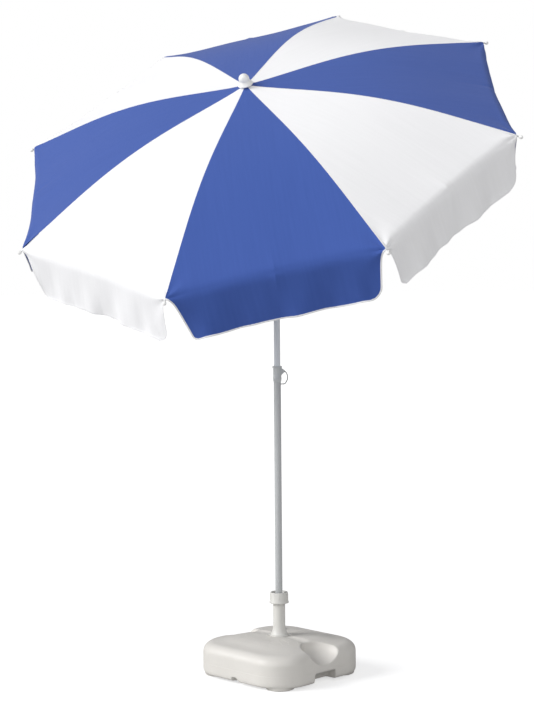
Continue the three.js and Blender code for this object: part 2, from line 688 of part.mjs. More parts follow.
// Plastic tip that caps the rib and holds the cover's corner.
function ribTip(i) {
  const slope = Math.atan(OUTER_SLOPE);
  const body = turned([
    [0, 5],
    [RIB_R + 1.2, 5],
    [TIP_R - 1, 9],
    [TIP_R, 13],
    [TIP_R - 1.5, 17],
    [0, 19],
  ], 8).rotateY(Math.PI / 2 + slope);
  return piece(`rib_tip_${i}`, body.translate(TIP_START_R, 0, ribHeight(TIP_START_R)), WHITE_PLASTIC);
}

// Strut: fork with its own pin at the rib, flat tab in the runner's notch.
function strut(i) {
  const cheek = 1.3;
  const gap = TAB_T + 2 * GAP;
  const half = gap / 2 + cheek;
  const rod = bar(STRUT_R, TAB_R + 7, STRUT_LENGTH - TAB_R - 6, 6);
  const ears = crossBar(TAB_R, 2 * half, 0, 0, 8);
  const yoke = box(2 * TAB_R - 1, 2 * half, TAB_R + 9, [0, 0, (TAB_R + 9) / 2]);
  const slot = box(4 * TAB_R, gap, TAB_R + 4 + 2 * TAB_R, [0, 0, 2]);
  const pin = crossBar(WIRE_R, 2 * half + 1, 0, 0, 6);
  const foot = crossBar(TAB_R, TAB_T, 0, STRUT_LENGTH, 8);
  const blade = box(2 * STRUT_R, TAB_T, 12, [0, 0, STRUT_LENGTH - 6]);
  const body = cut(join(rod, ears, yoke), slot).add(solid(pin)).add(solid(foot)).add(solid(blade));
  const hole = crossBar(WIRE_R + GAP, 3 * TAB_T, 0, STRUT_LENGTH, 6);
  const mesh = piece(`strut_${i}`, cut(body, hole), RIB_STEEL);
  mesh.position.set(STRUT_TOP.r, 0, STRUT_TOP.z);
  mesh.rotation.y = Math.PI + Math.asin(STRUT_RUN / STRUT_LENGTH);
  return mesh;
}

// ---- head: cover --------------------------------------------------------------------------
const HALF_GORE = Math.PI / RIB_COUNT;
const INNER_EDGE_R = FINIAL_STEM_R + 8;
const SEAM_GAP = GAP * 0.8; // half the gap between the two sides of a seam

// A point of a half gore, in the rib's frame: across 0 is over the rib and 1 the gore's middle;
// along 0 to 1 runs from the crown to the rim, and 1 to 2 down the flap that hangs from it.
function coverPoint(across, along, azimuth) {
  const t = Math.min(along, 1);
  const r = INNER_EDGE_R + (SPAN_R - INNER_EDGE_R) * t;
  const dip = 1 - (RIM_DIP / SPAN_R) * t ** 4 * across * (2 - across);
  const reach = r * dip * Math.cos(HALF_GORE);
  const point = new THREE.Vector3(
    r * dip * (1 - across) + reach * Math.cos(HALF_GORE) * across,
    reach * Math.sin(HALF_GORE) * across,
    HEAD_HEIGHT - coverFall(r),
  );
  const seam = new THREE.Vector3(-Math.sin(HALF_GORE), Math.cos(HALF_GORE), 0);
  const fall = Math.max(0, along - 1);
  const notch = along < 1 ? 0 : TIP_NOTCH + VALANCE_CUT * fall;
  point.addScaledVector(seam, SEAM_GAP * (1 - 2 * across) + notch * (1 - across));
  const plumb = new THREE.Vector3(Math.sin(rad(TILT)), 0, -Math.cos(rad(TILT)));
  plumb.applyAxisAngle(new THREE.Vector3(0, 0, 1), -rad(azimuth));
  const hang = new THREE.Vector3(0, 0, -1).lerp(plumb, VALANCE_HANG).normalize();
  return point.addScaledVector(hang, VALANCE * fall);
}

// Half a gore with half its flap, as a thin closed sheet. side is +1 or -1 of its rib.
function halfGore(name, side, azimuth, material) {
  const columns = 3;
  const gore = 8;
  const flap = 2;
  const sheet = new THREE.BoxGeometry(1, 1, 1, columns, gore + flap, 1);
  const place = sheet.attributes.position;
  const at = (across, along) => {
    const p = coverPoint(across, along, side * azimuth);
    p.y *= side;
    return p;
  };
  for (let k = 0; k < place.count; k += 1) {
    const across = side * place.getX(k) + 0.5;
    const step = (0.5 - place.getY(k)) * (gore + flap);
    const along = step < gore ? step / gore : 1 + (step - gore) / flap;
    const point = at(across, along);
    const step1 = at(Math.min(across + 0.01, 1), along).sub(at(Math.max(across - 0.01, 0), along));
    const step2 = at(across, Math.min(along + 0.02, 2)).sub(at(across, Math.max(along - 0.02, 0)));
    const normal = step1.multiplyScalar(side).cross(step2.negate()).normalize();
    point.addScaledVector(normal, place.getZ(k) * COVER_T);
    place.setXYZ(k, point.x, point.y, point.z);
  }
  return piece(name, sheet, material);
}

// ---- assembly -----------------------------------------------------------------------------
const umbrella = new THREE.Group();
umbrella.add(baseTank(), fillerCap(), socketTube(), colletSleeve(), clampNut());
umbrella.add(lowerPole(), poleFootPlug(), heightCollar(), lockingClip(), upperPole());

const joint = new THREE.Group();
joint.position.z = TILT_Z;
joint.rotation.z = rad(LEAN_AZIMUTH);
joint.add(tiltFork(), tiltButton(), tiltPin());
umbrella.add(joint);

const head = new THREE.Group();
head.position.z = TILT_Z;
head.rotation.set(0, rad(TILT), rad(LEAN_AZIMUTH), "ZYX");
head.add(tiltKnuckle(), headPole(), crown(), crownWire(), finial(), runner(), runnerCatch());
umbrella.add(head);

for (let i = 0; i < RIB_COUNT; i += 1) {
  const plane = new THREE.Group();
  const azimuth = ribAzimuth(i);
  plane.rotation.z = rad(azimuth);
  plane.add(rib(i + 1), ribTip(i + 1), strut(i + 1));
  // the gores alternate, so each rib has blue cloth on one side and white on the other
  const [after, before] = i % 2 ? [BLUE_CLOTH, WHITE_CLOTH] : [WHITE_CLOTH, BLUE_CLOTH];
  const colour = (material) => (material === BLUE_CLOTH ? "blue" : "white");
  plane.add(halfGore(`cover_${i + 1}_after_${colour(after)}`, 1, azimuth, after));
  plane.add(halfGore(`cover_${i + 1}_before_${colour(before)}`, -1, azimuth, before));
  head.add(plane);
}

export default umbrella;
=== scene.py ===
# Beach umbrella: looks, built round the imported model. Sizes below are in millimetres, and MM
# turns them to metres.
import json
import random
from math import asin, atan, atan2, cos, hypot, pi, radians, sin, sqrt, tau

import bmesh
import bpy
import numpy as np
from mathutils import Matrix, Vector


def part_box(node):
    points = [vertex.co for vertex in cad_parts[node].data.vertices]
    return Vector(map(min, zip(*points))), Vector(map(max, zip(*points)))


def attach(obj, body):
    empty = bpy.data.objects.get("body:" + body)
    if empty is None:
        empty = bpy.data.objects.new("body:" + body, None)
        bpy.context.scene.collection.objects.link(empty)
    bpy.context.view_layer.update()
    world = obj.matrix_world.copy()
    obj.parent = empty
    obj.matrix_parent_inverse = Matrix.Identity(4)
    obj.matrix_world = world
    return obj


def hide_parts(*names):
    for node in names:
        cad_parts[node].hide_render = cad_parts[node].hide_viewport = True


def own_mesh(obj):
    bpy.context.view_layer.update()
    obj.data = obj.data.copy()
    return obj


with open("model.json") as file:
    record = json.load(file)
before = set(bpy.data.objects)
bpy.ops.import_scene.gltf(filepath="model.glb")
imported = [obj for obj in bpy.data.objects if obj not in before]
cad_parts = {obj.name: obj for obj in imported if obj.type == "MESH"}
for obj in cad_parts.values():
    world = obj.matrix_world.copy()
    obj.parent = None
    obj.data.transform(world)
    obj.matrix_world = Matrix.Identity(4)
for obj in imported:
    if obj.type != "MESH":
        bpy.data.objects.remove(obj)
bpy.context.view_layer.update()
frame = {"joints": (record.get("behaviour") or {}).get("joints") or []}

MM = 0.001
UP = Vector((0, 0, 1))
JOINTS = {joint["name"]: joint for joint in frame["joints"]}
RIBS = 8
HALF_GORE = pi / RIBS

# ---- camera
CAMERA_AT = Vector((4.180, -4.230, 1.4827))
CAMERA_AIM = Vector((-0.7059, 0.7059, -0.0575))
CAMERA_ROLL = -0.0084
CAMERA_LENS = 86.62


def make_camera():
    aim = CAMERA_AIM.normalized()
    right = aim.cross(UP).normalized()
    up = right.cross(aim)
    turned_right = right * cos(CAMERA_ROLL) + up * sin(CAMERA_ROLL)
    turned_up = up * cos(CAMERA_ROLL) - right * sin(CAMERA_ROLL)
    camera = added("camera", bpy.data.cameras.new("camera"))
    camera.data.lens = CAMERA_LENS
    camera.matrix_world = Matrix.Translation(CAMERA_AT) @ columns(turned_right, turned_up, -aim)
    bpy.context.scene.camera = camera


def added(name, data):
    """A new object in the scene."""
    made = bpy.data.objects.new(name, data)
    bpy.context.scene.collection.objects.link(made)
    return made


def columns(x, y, z):
    """The turn that takes X, Y and Z to these three directions."""
    return Matrix((x, y, z)).transposed().to_4x4()


make_camera()

# ---- frames of the umbrella's parts, from its joints
HEAD_UP = -Vector(JOINTS["runner_slide"]["axis"])
TILT_AT = Vector(JOINTS["tilt"]["pos_m"])
TILT_AXIS = Vector(JOINTS["tilt"]["axis"])
HEAD = Matrix.Translation(TILT_AT) @ columns(TILT_AXIS.cross(HEAD_UP), TILT_AXIS, HEAD_UP)
TILT_JOINT = Matrix.Translation(TILT_AT) @ columns(TILT_AXIS.cross(UP), TILT_AXIS, UP)


def rib_frame(rib):
    """X runs out along the rib, Y to its left and Z up the head's axis; the origin is the tilt pivot."""
    left = Vector(JOINTS[f"rib_{rib}_fold"]["axis"])
    return Matrix.Translation(TILT_AT) @ columns(left.cross(HEAD_UP), left, HEAD_UP)


def gore_frame(gore):
    """The same for the middle of the gore between rib number gore and the next one."""
    return rib_frame(gore) @ Matrix.Rotation(HALF_GORE, 4, "Z")


def about_z(degrees):
    return Matrix.Rotation(radians(degrees), 4, "Z")


# ---- colours and materials
def linear(hex_colour):
    """An sRGB hex value as linear RGBA."""
    channels = [int(hex_colour[k : k + 2], 16) / 255 for k in (1, 3, 5)]
    return [c / 12.92 if c <= 0.04045 else ((c + 0.055) / 1.055) ** 2.4 for c in channels] + [1]


def add_node(tree, kind, inputs, **settings):
    """A node with its settings, its inputs being values or the sockets that feed them."""
    made = tree.nodes.new(kind)
    for name, value in settings.items():
        setattr(made, name, value)
    for name, value in inputs.items():
        if isinstance(value, bpy.types.NodeSocket):
            tree.links.new(value, made.inputs[name])
        else:
            made.inputs[name].default_value = value
    return made


def new_material(name, shader):
    """A material whose Principled shader has these values on its own sockets."""
    material = bpy.data.materials.new(name)
    material.use_nodes = True
    principled = material.node_tree.nodes["Principled BSDF"]
    for socket, value in shader.items():
        principled.inputs[socket].default_value = value
    return material, material.node_tree, principled


def per_metre(size):
    """The scale of a noise whose blotches are about this many millimetres across."""
    return 1 / (size * MM)


MIX_FACTOR, MIX_A, MIX_B, MIX_RESULT = 0, 6, 7, 2  # a Mix node's colour sockets share their names


def mottle(tree, where, dark, light, blotch, detail=3):
    """A colour that wanders between two near ones, in blotches this many millimetres across."""
    noise = add_node(
        tree, "ShaderNodeTexNoise", {"Vector": where, "Scale": per_metre(blotch), "Detail": detail}
    )
    ends = {MIX_FACTOR: noise.outputs["Fac"], MIX_A: linear(dark), MIX_B: linear(light)}
    return add_node(tree, "ShaderNodeMix", ends, data_type="RGBA").outputs[MIX_RESULT]


def grain(tree, where, size, height, below=None):
    """A bump of moulded or sprayed grain, its size and height in millimetres."""
    spots = {"Vector": where, "Scale": per_metre(size), "Detail": 2}
    noise = add_node(tree, "ShaderNodeTexNoise", spots)
    inputs = {"Height": noise.outputs["Fac"], "Distance": height * MM, "Strength": 1.0}
    if below is not None:
        inputs["Normal"] = below
    return add_node(tree, "ShaderNodeBump", inputs).outputs["Normal"]


def vary(tree, where, size, low, high):
    """A number that wanders between two values, in patches this many millimetres across."""
    spots = {"Vector": where, "Scale": per_metre(size), "Detail": 4}
    noise = add_node(tree, "ShaderNodeTexNoise", spots)
    return add_node(
        tree,
        "ShaderNodeMapRange",
        {"Value": noise.outputs["Fac"], "From Min": 0.3, "From Max": 0.7, "To Min": low, "To Max": high},
    ).outputs["Result"]


def surface(name, shader, colours, gloss, bump, swell=None, drawn_out=None):
    """A hard surface whose colour (dark, light, blotch, detail), gloss (patch, low, high) and grain
    (size, height) wander, over slow swells or drawn out lengthwise where the maker left them so."""
    material, tree, principled = new_material(name, shader)
    where = along = add_node(tree, "ShaderNodeTexCoord", {}).outputs["Object"]
    if drawn_out:
        inputs = {"Vector": where, "Scale": drawn_out}
        along = add_node(tree, "ShaderNodeMapping", inputs).outputs["Vector"]
    below = grain(tree, where, *swell) if swell else None
    link = tree.links.new
    link(mottle(tree, along, *colours), principled.inputs["Base Color"])
    link(vary(tree, along, *gloss), principled.inputs["Roughness"])
    link(grain(tree, where, *bump, below), principled.inputs["Normal"])
    return material


def plastic(name, dark, light, rough):
    """Moulded plastic: near-even colour, a soft gloss that is broken by scuffs, and fine mould grain."""
    gloss = (25, rough - 0.06, rough + 0.08)
    return surface(name, {"IOR": 1.5}, (dark, light, 60), gloss, (1.6, 0.06))


def blown_polyethylene():
    """Blow-moulded HDPE: waxy and cloudy, with grain and slow swells where the wall cooled unevenly."""
    cloudy = ("#D2CFC9", "#DEDBD6", 90, 5)
    waxy = (40, 0.42, 0.56)
    return surface("blow_moulded_hdpe", {"IOR": 1.51}, cloudy, waxy, (2.2, 0.09), swell=(70, 1.4))


def powder_coat(name, dark, light):
    """Powder-coated steel tube: satin, with faint orange peel and fine scratches along it."""
    satin = {"IOR": 1.5, "Coat Weight": 0.25}
    stretch = (1, 1, 0.03)
    return surface(name, satin, (dark, light, 6), (4, 0.3, 0.42), (2.5, 0.03), drawn_out=stretch)


def bare_steel(name, dark, light, rough):
    """Drawn steel: metallic, in fine patches of brighter and duller metal."""
    gloss = (3, rough - 0.06, rough + 0.1)
    return surface(name, {"Metallic": 1.0}, (dark, light, 5), gloss, (0.8, 0.02))


THREAD = 1.6  # pitch of the weave: threads of 0.4 mm, drawn four times as coarse so that they show


def woven_polyester(name, dark, light, sheen):
    """Plain-woven polyester: threads both ways, faint streaks along the warp, a dull sheen."""
    material, tree, principled = new_material(
        name, {"IOR": 1.45, "Roughness": 0.82, "Sheen Weight": sheen, "Sheen Roughness": 0.5}
    )
    link = tree.links.new
    cloth = add_node(tree, "ShaderNodeUVMap", {}, uv_map="cloth").outputs["UV"]
    drawn_out = {"Vector": cloth, "Scale": (1, 0.04, 1)}
    streaks = add_node(tree, "ShaderNodeMapping", drawn_out).outputs["Vector"]
    link(mottle(tree, streaks, dark, light, 9, 4), principled.inputs["Base Color"])
    weave = None
    for direction in ("X", "Y"):
        threads = add_node(
            tree,
            "ShaderNodeTexWave",
            {"Vector": cloth, "Scale": pi / (10 * THREAD * MM), "Distortion": 0.4, "Detail": 1.0},
            bands_direction=direction,
        )
        inputs = {"Height": threads.outputs["Fac"], "Distance": 0.12 * MM, "Strength": 0.6}
        if weave is not None:
            inputs["Normal"] = weave
        weave = add_node(tree, "ShaderNodeBump", inputs).outputs["Normal"]
    link(grain(tree, streaks, 30, 0.5, weave), principled.inputs["Normal"])
    return material


# Each finish goes with the slot that it fills in the model.
BASE_PLASTIC = (blown_polyethylene(), "base_plastic")
SOCKET_PLASTIC = (plastic("injection_moulded_pp_grey", "#CFCEC9", "#D9D8D4", 0.42), "base_plastic")
JOINT_PLASTIC = (plastic("injection_moulded_nylon", "#C3C6C7", "#CDD0D1", 0.4), "joint_plastic")
WHITE_PLASTIC = (plastic("injection_moulded_abs_white", "#F0F0EF", "#F7F7F6", 0.32), "white_plastic")
LOWER_PAINT = (powder_coat("powder_coated_tube_grey", "#B6B9BA", "#C0C2C3"), "pole_paint")
# The upper and head tubes have the lower tube's grey powder coat, painted lighter to offset the shade
# that the canopy casts on them: painted light.
UPPER_PAINT_LIGHTENED_FOR_SHADE = (powder_coat("powder_coated_tube_blue_grey", "#DDE1E6", "#E4E7EB"), "pole_paint")
RIB_STEEL = (bare_steel("zinc_plated_rib", "#B9BCC0", "#D2D4D6", 0.34), "rib_steel")
CLIP_STEEL = (bare_steel("drawn_spring_wire", "#6E7276", "#8D9194", 0.34), "wire_steel")
BLUE_CLOTH = (woven_polyester("woven_polyester_blue", "#3453A1", "#3B5AAA", 0.12), "cloth_blue")
WHITE_CLOTH = (woven_polyester("woven_polyester_white", "#F1F1F3", "#F8F8FA", 0.1), "cloth_white")
BINDING_CLOTH = (woven_polyester("binding_tape_white", "#E9E9EB", "#F4F4F6", 0.1), "cloth_white")


# ---- modelling helpers
def deselect():
    bpy.ops.object.select_all(action="DESELECT")


def only(piece):
    """Selects this piece and nothing else."""
    deselect()
    piece.select_set(True)
    bpy.context.view_layer.objects.active = piece


def begin(name):
    """Names the primitive just added and puts its place into its mesh."""
    made = bpy.context.active_object
    made.name = made.data.name = name
    only(made)
    bpy.ops.object.transform_apply(location=True, rotation=True, scale=True)
    return made


def apply(piece, kind, **settings):
    """Adds a modifier with these settings and applies it."""
    modifier = piece.modifiers.new("shape", kind)
    for name, value in settings.items():
        setattr(modifier, name, value)
    only(piece)
    bpy.ops.object.modifier_apply(modifier=modifier.name)
    return piece


def smoothed(piece, degrees):
    """Smooth shading, with edges that turn by more than this left sharp."""
    only(piece)
    bpy.ops.object.shade_smooth_by_angle(angle=radians(degrees))
    return piece


def eased(piece, width, steps=2, smooth=38):
    """Rounds the piece's sharp edges and smooths what is left."""
    sharp = radians(32)
    apply(piece, "BEVEL", width=width * MM, segments=steps, limit_method="ANGLE", angle_limit=sharp)
    return smoothed(piece, smooth)


def open_all():
    """Opens the active piece in edit mode with all of it selected."""
    bpy.ops.object.mode_set(mode="EDIT")
    bpy.ops.mesh.select_all(action="SELECT")


def faces_out():
    """Turns the open piece's faces outwards and closes it."""
    bpy.ops.mesh.select_all(action="SELECT")
    bpy.ops.mesh.normals_make_consistent(inside=False)
    bpy.ops.object.mode_set(mode="OBJECT")


def pushed(rings):
    """Pushes what is selected from ring to ring of (width, height) in mm. It starts at the first."""
    width, height = rings[0]
    for next_width, next_height in rings[1:]:
        rise = (0, 0, (next_height - height) * MM)
        bpy.ops.mesh.extrude_region_move(TRANSFORM_OT_translate={"value": rise})
        share = next_width / width
        bpy.ops.transform.resize(value=(share, share, 1), center_override=(0, 0, next_height * MM))
        width, height = next_width, next_height


def cut(piece, *cutters):
    """Takes each cutter out of the piece."""
    for cutter in cutters:
        apply(piece, "BOOLEAN", operation="DIFFERENCE", object=cutter, solver="EXACT")
        bpy.data.objects.remove(cutter)
    return piece


def fused(piece, *others):
    """Makes one closed body of overlapping ones."""
    for other in others:
        apply(piece, "BOOLEAN", operation="UNION", object=other, solver="EXACT")
        bpy.data.objects.remove(other)
    return piece


def placed(piece, turn):
    piece.data.transform(turn)
    return piece


def copied(piece, name, turn):
    """A copy with its own mesh, turned and moved."""
    twin = piece.copy()
    twin.data = piece.data.copy()
    twin.name = twin.data.name = name
    bpy.context.scene.collection.objects.link(twin)
    return placed(twin, turn)


def spun(piece, count, start=0.0):
    """Copies of a cutter or lug spaced round Z, the first one being the piece itself."""
    turns = [Matrix.Rotation(start + tau * k / count, 4, "Z") for k in range(count)]
    others = [copied(piece, f"{piece.name}_{k}", turns[k]) for k in range(1, count)]
    return [placed(piece, turns[0]), *others]


def turned(name, profile, hollow=False, segments=48):
    """A round body: a circle pushed from ring to ring of a profile of (radius, height) in mm."""
    radius, height = profile[0]
    deselect()
    start = (0, 0, height * MM)
    bpy.ops.mesh.primitive_circle_add(vertices=segments, radius=radius * MM, location=start)
    piece = begin(name)
    open_all()
    pushed(profile)
    bpy.ops.mesh.select_all(action="DESELECT")
    bpy.ops.mesh.select_non_manifold()
    if hollow:
        bpy.ops.mesh.bridge_edge_loops()
    else:
        bpy.ops.mesh.fill_holes(sides=segments)
    faces_out()
    return piece


def heights(node):
    """The lowest and the highest point of a CAD node, in mm."""
    low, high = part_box(node)
    return low.z / MM, high.z / MM


def pipe(name, inner, outer, low, high, segments=48):
    return turned(name, [(inner, low), (outer, low), (outer, high), (inner, high)], True, segments)


def block(name, size, at):
    """A box of this size in mm, its middle at a point in mm."""
    deselect()
    bpy.ops.mesh.primitive_cube_add(size=1, location=Vector(at) * MM, scale=Vector(size) * MM)
    return begin(name)


def disc(name, radius, length, at, turn=(0, 0, 0), segments=40):
    """A short bar across any direction: the turn is in degrees about X, Y and Z."""
    deselect()
    bpy.ops.mesh.primitive_cylinder_add(
        vertices=segments,
        radius=radius * MM,
        depth=length * MM,
        location=Vector(at) * MM,
        rotation=[radians(angle) for angle in turn],
    )
    return begin(name)


ACROSS = (90, 0, 0)  # a disc's axis along Y


def wire(name, points, radius, closed=False, smooth=True):
    """Round wire along points in mm, with closed ends."""
    curve = bpy.data.curves.new(name, "CURVE")
    curve.dimensions = "3D"
    curve.bevel_depth = radius * MM
    curve.bevel_resolution = 3
    curve.use_fill_caps = True
    spline = curve.splines.new("NURBS" if smooth else "POLY")
    spline.points.add(len(points) - 1)
    for place, point in zip(spline.points, points):
        place.co = (*(Vector(point) * MM), 1)
    spline.use_cyclic_u = closed
    if smooth:
        spline.order_u = 4
        spline.use_endpoint_u = not closed
        spline.resolution_u = 6
    only(added(name, curve))
    bpy.ops.object.convert(target="MESH")
    open_all()
    bpy.ops.mesh.remove_doubles(threshold=0.00001)
    faces_out()
    return smoothed(bpy.context.active_object, 50)


def finished(piece, finish, body, *nodes):
    """Gives the piece its finish and its body, and hides the CAD nodes that it stands for."""
    material, slot = finish
    piece.data.materials.clear()
    piece.data.materials.append(material)
    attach(piece, body)
    if nodes:
        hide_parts(*nodes)
    return piece


# ---- canopy
HEAD_HEIGHT = 453  # tilt pivot to the cover's middle
SPAN_R = 895
CROWN_RISE = 6
CROWN_RISE_R = 30
INNER_SLOPE = 0.115
OUTER_SLOPE = 0.385
BEND_START_R = 179
BEND_END_R = 761
RIM_DIP = 14
VALANCE = 152
VALANCE_HANG = 0.42
COVER_T = 1.6
COVER_SLACK = 1.6
RIB_R = 2.4
HUB_R = 20
HUB_DEPTH = 15.5
HUB_BLEND = 15
CLOTH_T = 0.7
INNER_EDGE_R = 12
COVER_LENGTH = SPAN_R - INNER_EDGE_R
RIM_FOLD = 30  # length over which the cloth turns down at the rim
TIP_FOLD = 5  # and at a rib's tip
SIDE_NOTCH = 5
SIDE_DRAW = 13  # the slack side edge swings in this much just below the tip
FLAP_CUTS = (52, 14)  # how far the leading and the trailing side slant in, down to the hem
DRAWN_BACK = {8: (52, 90)}  # a flap whose trailing side has swung further in
CORNER_R = 36
LEADING_CORNER_R = 12
BINDING_SIZE = (6, 1.6)
BINDING_LAP = 1.2  # of the tape over the cloth's edge
SEAM_SIZE = (5, 1.5)


def cover_fall(r):
    """How far the cover has fallen below its middle at a radius over a rib."""
    width = BEND_END_R - BEND_START_R
    t = np.maximum(0, (r - BEND_START_R) / width)
    bent = np.where(t < 1, t**3 - t**4 / 2, 0.5 + (t - 1))
    lifted = CROWN_RISE * (1 - np.exp(-r / CROWN_RISE_R))
    return lifted + INNER_SLOPE * r + (OUTER_SLOPE - INNER_SLOPE) * width * bent


def rib_height(r):
    """Height of a rib's axis: just under the cover, sunk to its pivot at the crown."""
    under = COVER_T / 2 + COVER_SLACK + RIB_R
    sink = HUB_DEPTH - cover_fall(HUB_R) - under
    return HEAD_HEIGHT - cover_fall(r) - under - sink * np.exp(-(r - HUB_R) / HUB_BLEND)


def side_cut(w, leading, cuts):
    """How far a flap's side edge stands in from the rib's plane, a share w of the way down. The
    leading side is cut further back, to a sharper corner."""
    radius = np.where(leading, LEADING_CORNER_R, CORNER_R)
    rounding = np.clip((w - 1) * VALANCE / radius + 1, 0, 1)
    corner = radius * (1 - np.sqrt(1 - np.minimum(rounding, 0.9999) ** 2))
    notch = SIDE_NOTCH * (1 - np.exp(-w / 0.02))
    slant = np.where(leading, *cuts)
    return notch + SIDE_DRAW * (1 - np.exp(-w / 0.09)) + slant * w + corner


def unit(vectors):
    return vectors / np.linalg.norm(vectors, axis=-1, keepdims=True)


class Gore:
    """One gore and its flap in the gore's own frame: v runs -1 to 1 from rib to rib, s from the
    crown, 0, over the rim, 1, to the hem, 2."""

    def __init__(self, number):
        chance = random.Random(100 + number)
        self.cuts = DRAWN_BACK.get(number, FLAP_CUTS)
        self.frame = gore_frame(number)
        down = self.frame.to_3x3().inverted() @ -UP
        hang = Vector((0, 0, -1)).lerp(down, VALANCE_HANG).normalized()
        self.hang = np.array(hang)
        self.phase = [chance.uniform(0, tau) for _ in range(6)]
        self.swing = [chance.uniform(0.7, 1.2) for _ in range(3)]

    def bare(self, v, s):
        """The smooth cover: straight across between the ribs, and folded down softly at the rim."""
        t = np.minimum(s, 1)
        w = np.maximum(s - 1, 0)
        far = np.abs(v)
        r = INNER_EDGE_R + COVER_LENGTH * t
        dip = 1 - (RIM_DIP / SPAN_R) * t**4 * (1 - far**2)
        x = r * dip * cos(HALF_GORE)
        y = v * r * dip * sin(HALF_GORE)
        z = HEAD_HEIGHT - cover_fall(r)
        y = y - np.sign(v) * np.where(s > 1, side_cut(w, v < 0, self.cuts), 0) * far
        return np.stack([x, y, z], -1) + (VALANCE * w)[..., None] * self.hang

    def point(self, v, s):
        """The cover with its rim rounded over instead of creased."""
        v, s = np.broadcast_arrays(np.asarray(v, float), np.asarray(s, float))
        fold = TIP_FOLD + (RIM_FOLD - TIP_FOLD) * (1 - np.abs(v) ** 6)
        away = np.abs(s - 1) * np.where(s < 1, COVER_LENGTH, VALANCE)
        outward = unit(self.bare(v, np.ones_like(s)) - self.bare(v, np.full_like(s, 0.97)))
        round_over = np.maximum(0, fold - away) ** 2 / (4 * fold)
        return self.bare(v, s) + round_over[..., None] * (self.hang - outward)

    def shaped(self, v, s):
        """Points on the rippled cloth, and the way it faces there."""
        v, s = np.broadcast_arrays(np.asarray(v, float), np.asarray(s, float))
        base = self.point(v, s)
        e = 0.004
        across = self.point(np.clip(v + e, -1, 1), s) - self.point(np.clip(v - e, -1, 1), s)
        down = self.point(v, np.clip(s + e, 0, 2)) - self.point(v, np.clip(s - e, 0, 2))
        normal = unit(np.cross(down, across))
        return base + self.relief(v, s, base)[..., None] * normal, normal

    def relief(self, v, s, base):
        """Height of the cloth's ripples and wrinkles over its smooth shape, in mm."""
        a, b, c, p, q, m = self.phase
        y = base[..., 1]
        w = np.clip(s - 1, 0, 1)
        wave = (
            8.0 * self.swing[0] * np.sin(tau * y / 260 + a)
            + 6.0 * self.swing[1] * np.sin(tau * y / 150 + b + 1.5 * w)
            + 2.6 * self.swing[2] * np.sin(tau * y / 70 + c - 2.5 * w)
        )
        hanging = wave * w**1.3
        beside = np.abs(np.sign(v) * SPAN_R * sin(HALF_GORE) - y)
        path = (s - 1) * np.where(s < 1, COVER_LENGTH, VALANCE)
        reach = np.hypot(beside, path)
        angle = np.arctan2(path, beside)
        gathers = 4.6 * np.sin(6.5 * angle + p) * np.exp(-reach / 52) * (1 - np.exp(-((reach / 9) ** 2)))
        r = INNER_EDGE_R + COVER_LENGTH * np.minimum(s, 1)
        drawn = (
            0.55
            * np.sin(tau * (r + 0.35 * y) / 17 + q)
            * np.exp(-(((r - 190) / 70) ** 2))
            * np.exp(-(((np.abs(v) - 0.66) / 0.25) ** 2))
        )
        slack = 1.6 * np.sin(tau * y / 330 + m) * np.clip((r - 300) / 600, 0, 1) * (1 - v**4)
        return hanging + gathers + drawn * (s < 1) + slack * (1 - w)


def merged_steps(*stretches):
    """Rising values without repeats, from (start, end, count) stretches."""
    values = [np.linspace(start, end, count, endpoint=False) for start, end, count in stretches]
    return np.append(np.concatenate(values), stretches[-1][1])


COVER_STEPS = ((0, 0.08, 8), (0.08, 0.4, 40), (0.4, 0.93, 36), (0.93, 1, 12))
ALONG = merged_steps(*COVER_STEPS, (1, 1.3, 12), (1.3, 2, 20))
FROM_RIB = np.linspace(0, 1, 27) ** 1.3


def cloth_piece(name, corners, faces, uv):
    """A piece from corners in mm, with the way its threads run in a UV map."""
    mesh = bpy.data.meshes.new(name)
    mesh.from_pydata((corners * MM).tolist(), [], faces)
    layer = mesh.uv_layers.new(name="cloth")
    loops = np.zeros(len(mesh.loops), int)
    mesh.loops.foreach_get("vertex_index", loops)
    layer.data.foreach_set("uv", uv[loops].ravel())
    piece = added(name, mesh)
    only(piece)
    return piece


def sheet_mesh(name, points, normals, thickness, uv, flip):
    """A closed sheet: a grid of points, given its thickness about itself. flip turns the grid over."""
    rows, cols = points.shape[:2]
    half = normals * (thickness / 2)
    corners = np.concatenate([(points + half).reshape(-1, 3), (points - half).reshape(-1, 3)])
    index = np.arange(rows * cols).reshape(rows, cols)
    a, b, c, d = index[:-1, :-1], index[:-1, 1:], index[1:, 1:], index[1:, :-1]
    top = np.stack([a, d, c, b], -1).reshape(-1, 4)
    under = np.stack([a, b, c, d], -1).reshape(-1, 4) + rows * cols
    edge = np.concatenate([index[0, :], index[1:, -1], index[-1, -2::-1], index[-2:0:-1, 0]])
    after = np.roll(edge, -1)
    wall = np.stack([edge, after, after + rows * cols, edge + rows * cols], -1)
    faces = np.concatenate([top, under, wall])
    if flip:
        faces = faces[:, ::-1]
    both = np.concatenate([uv.reshape(-1, 2), uv.reshape(-1, 2)])
    return smoothed(cloth_piece(name, corners, faces.tolist(), both), 60)


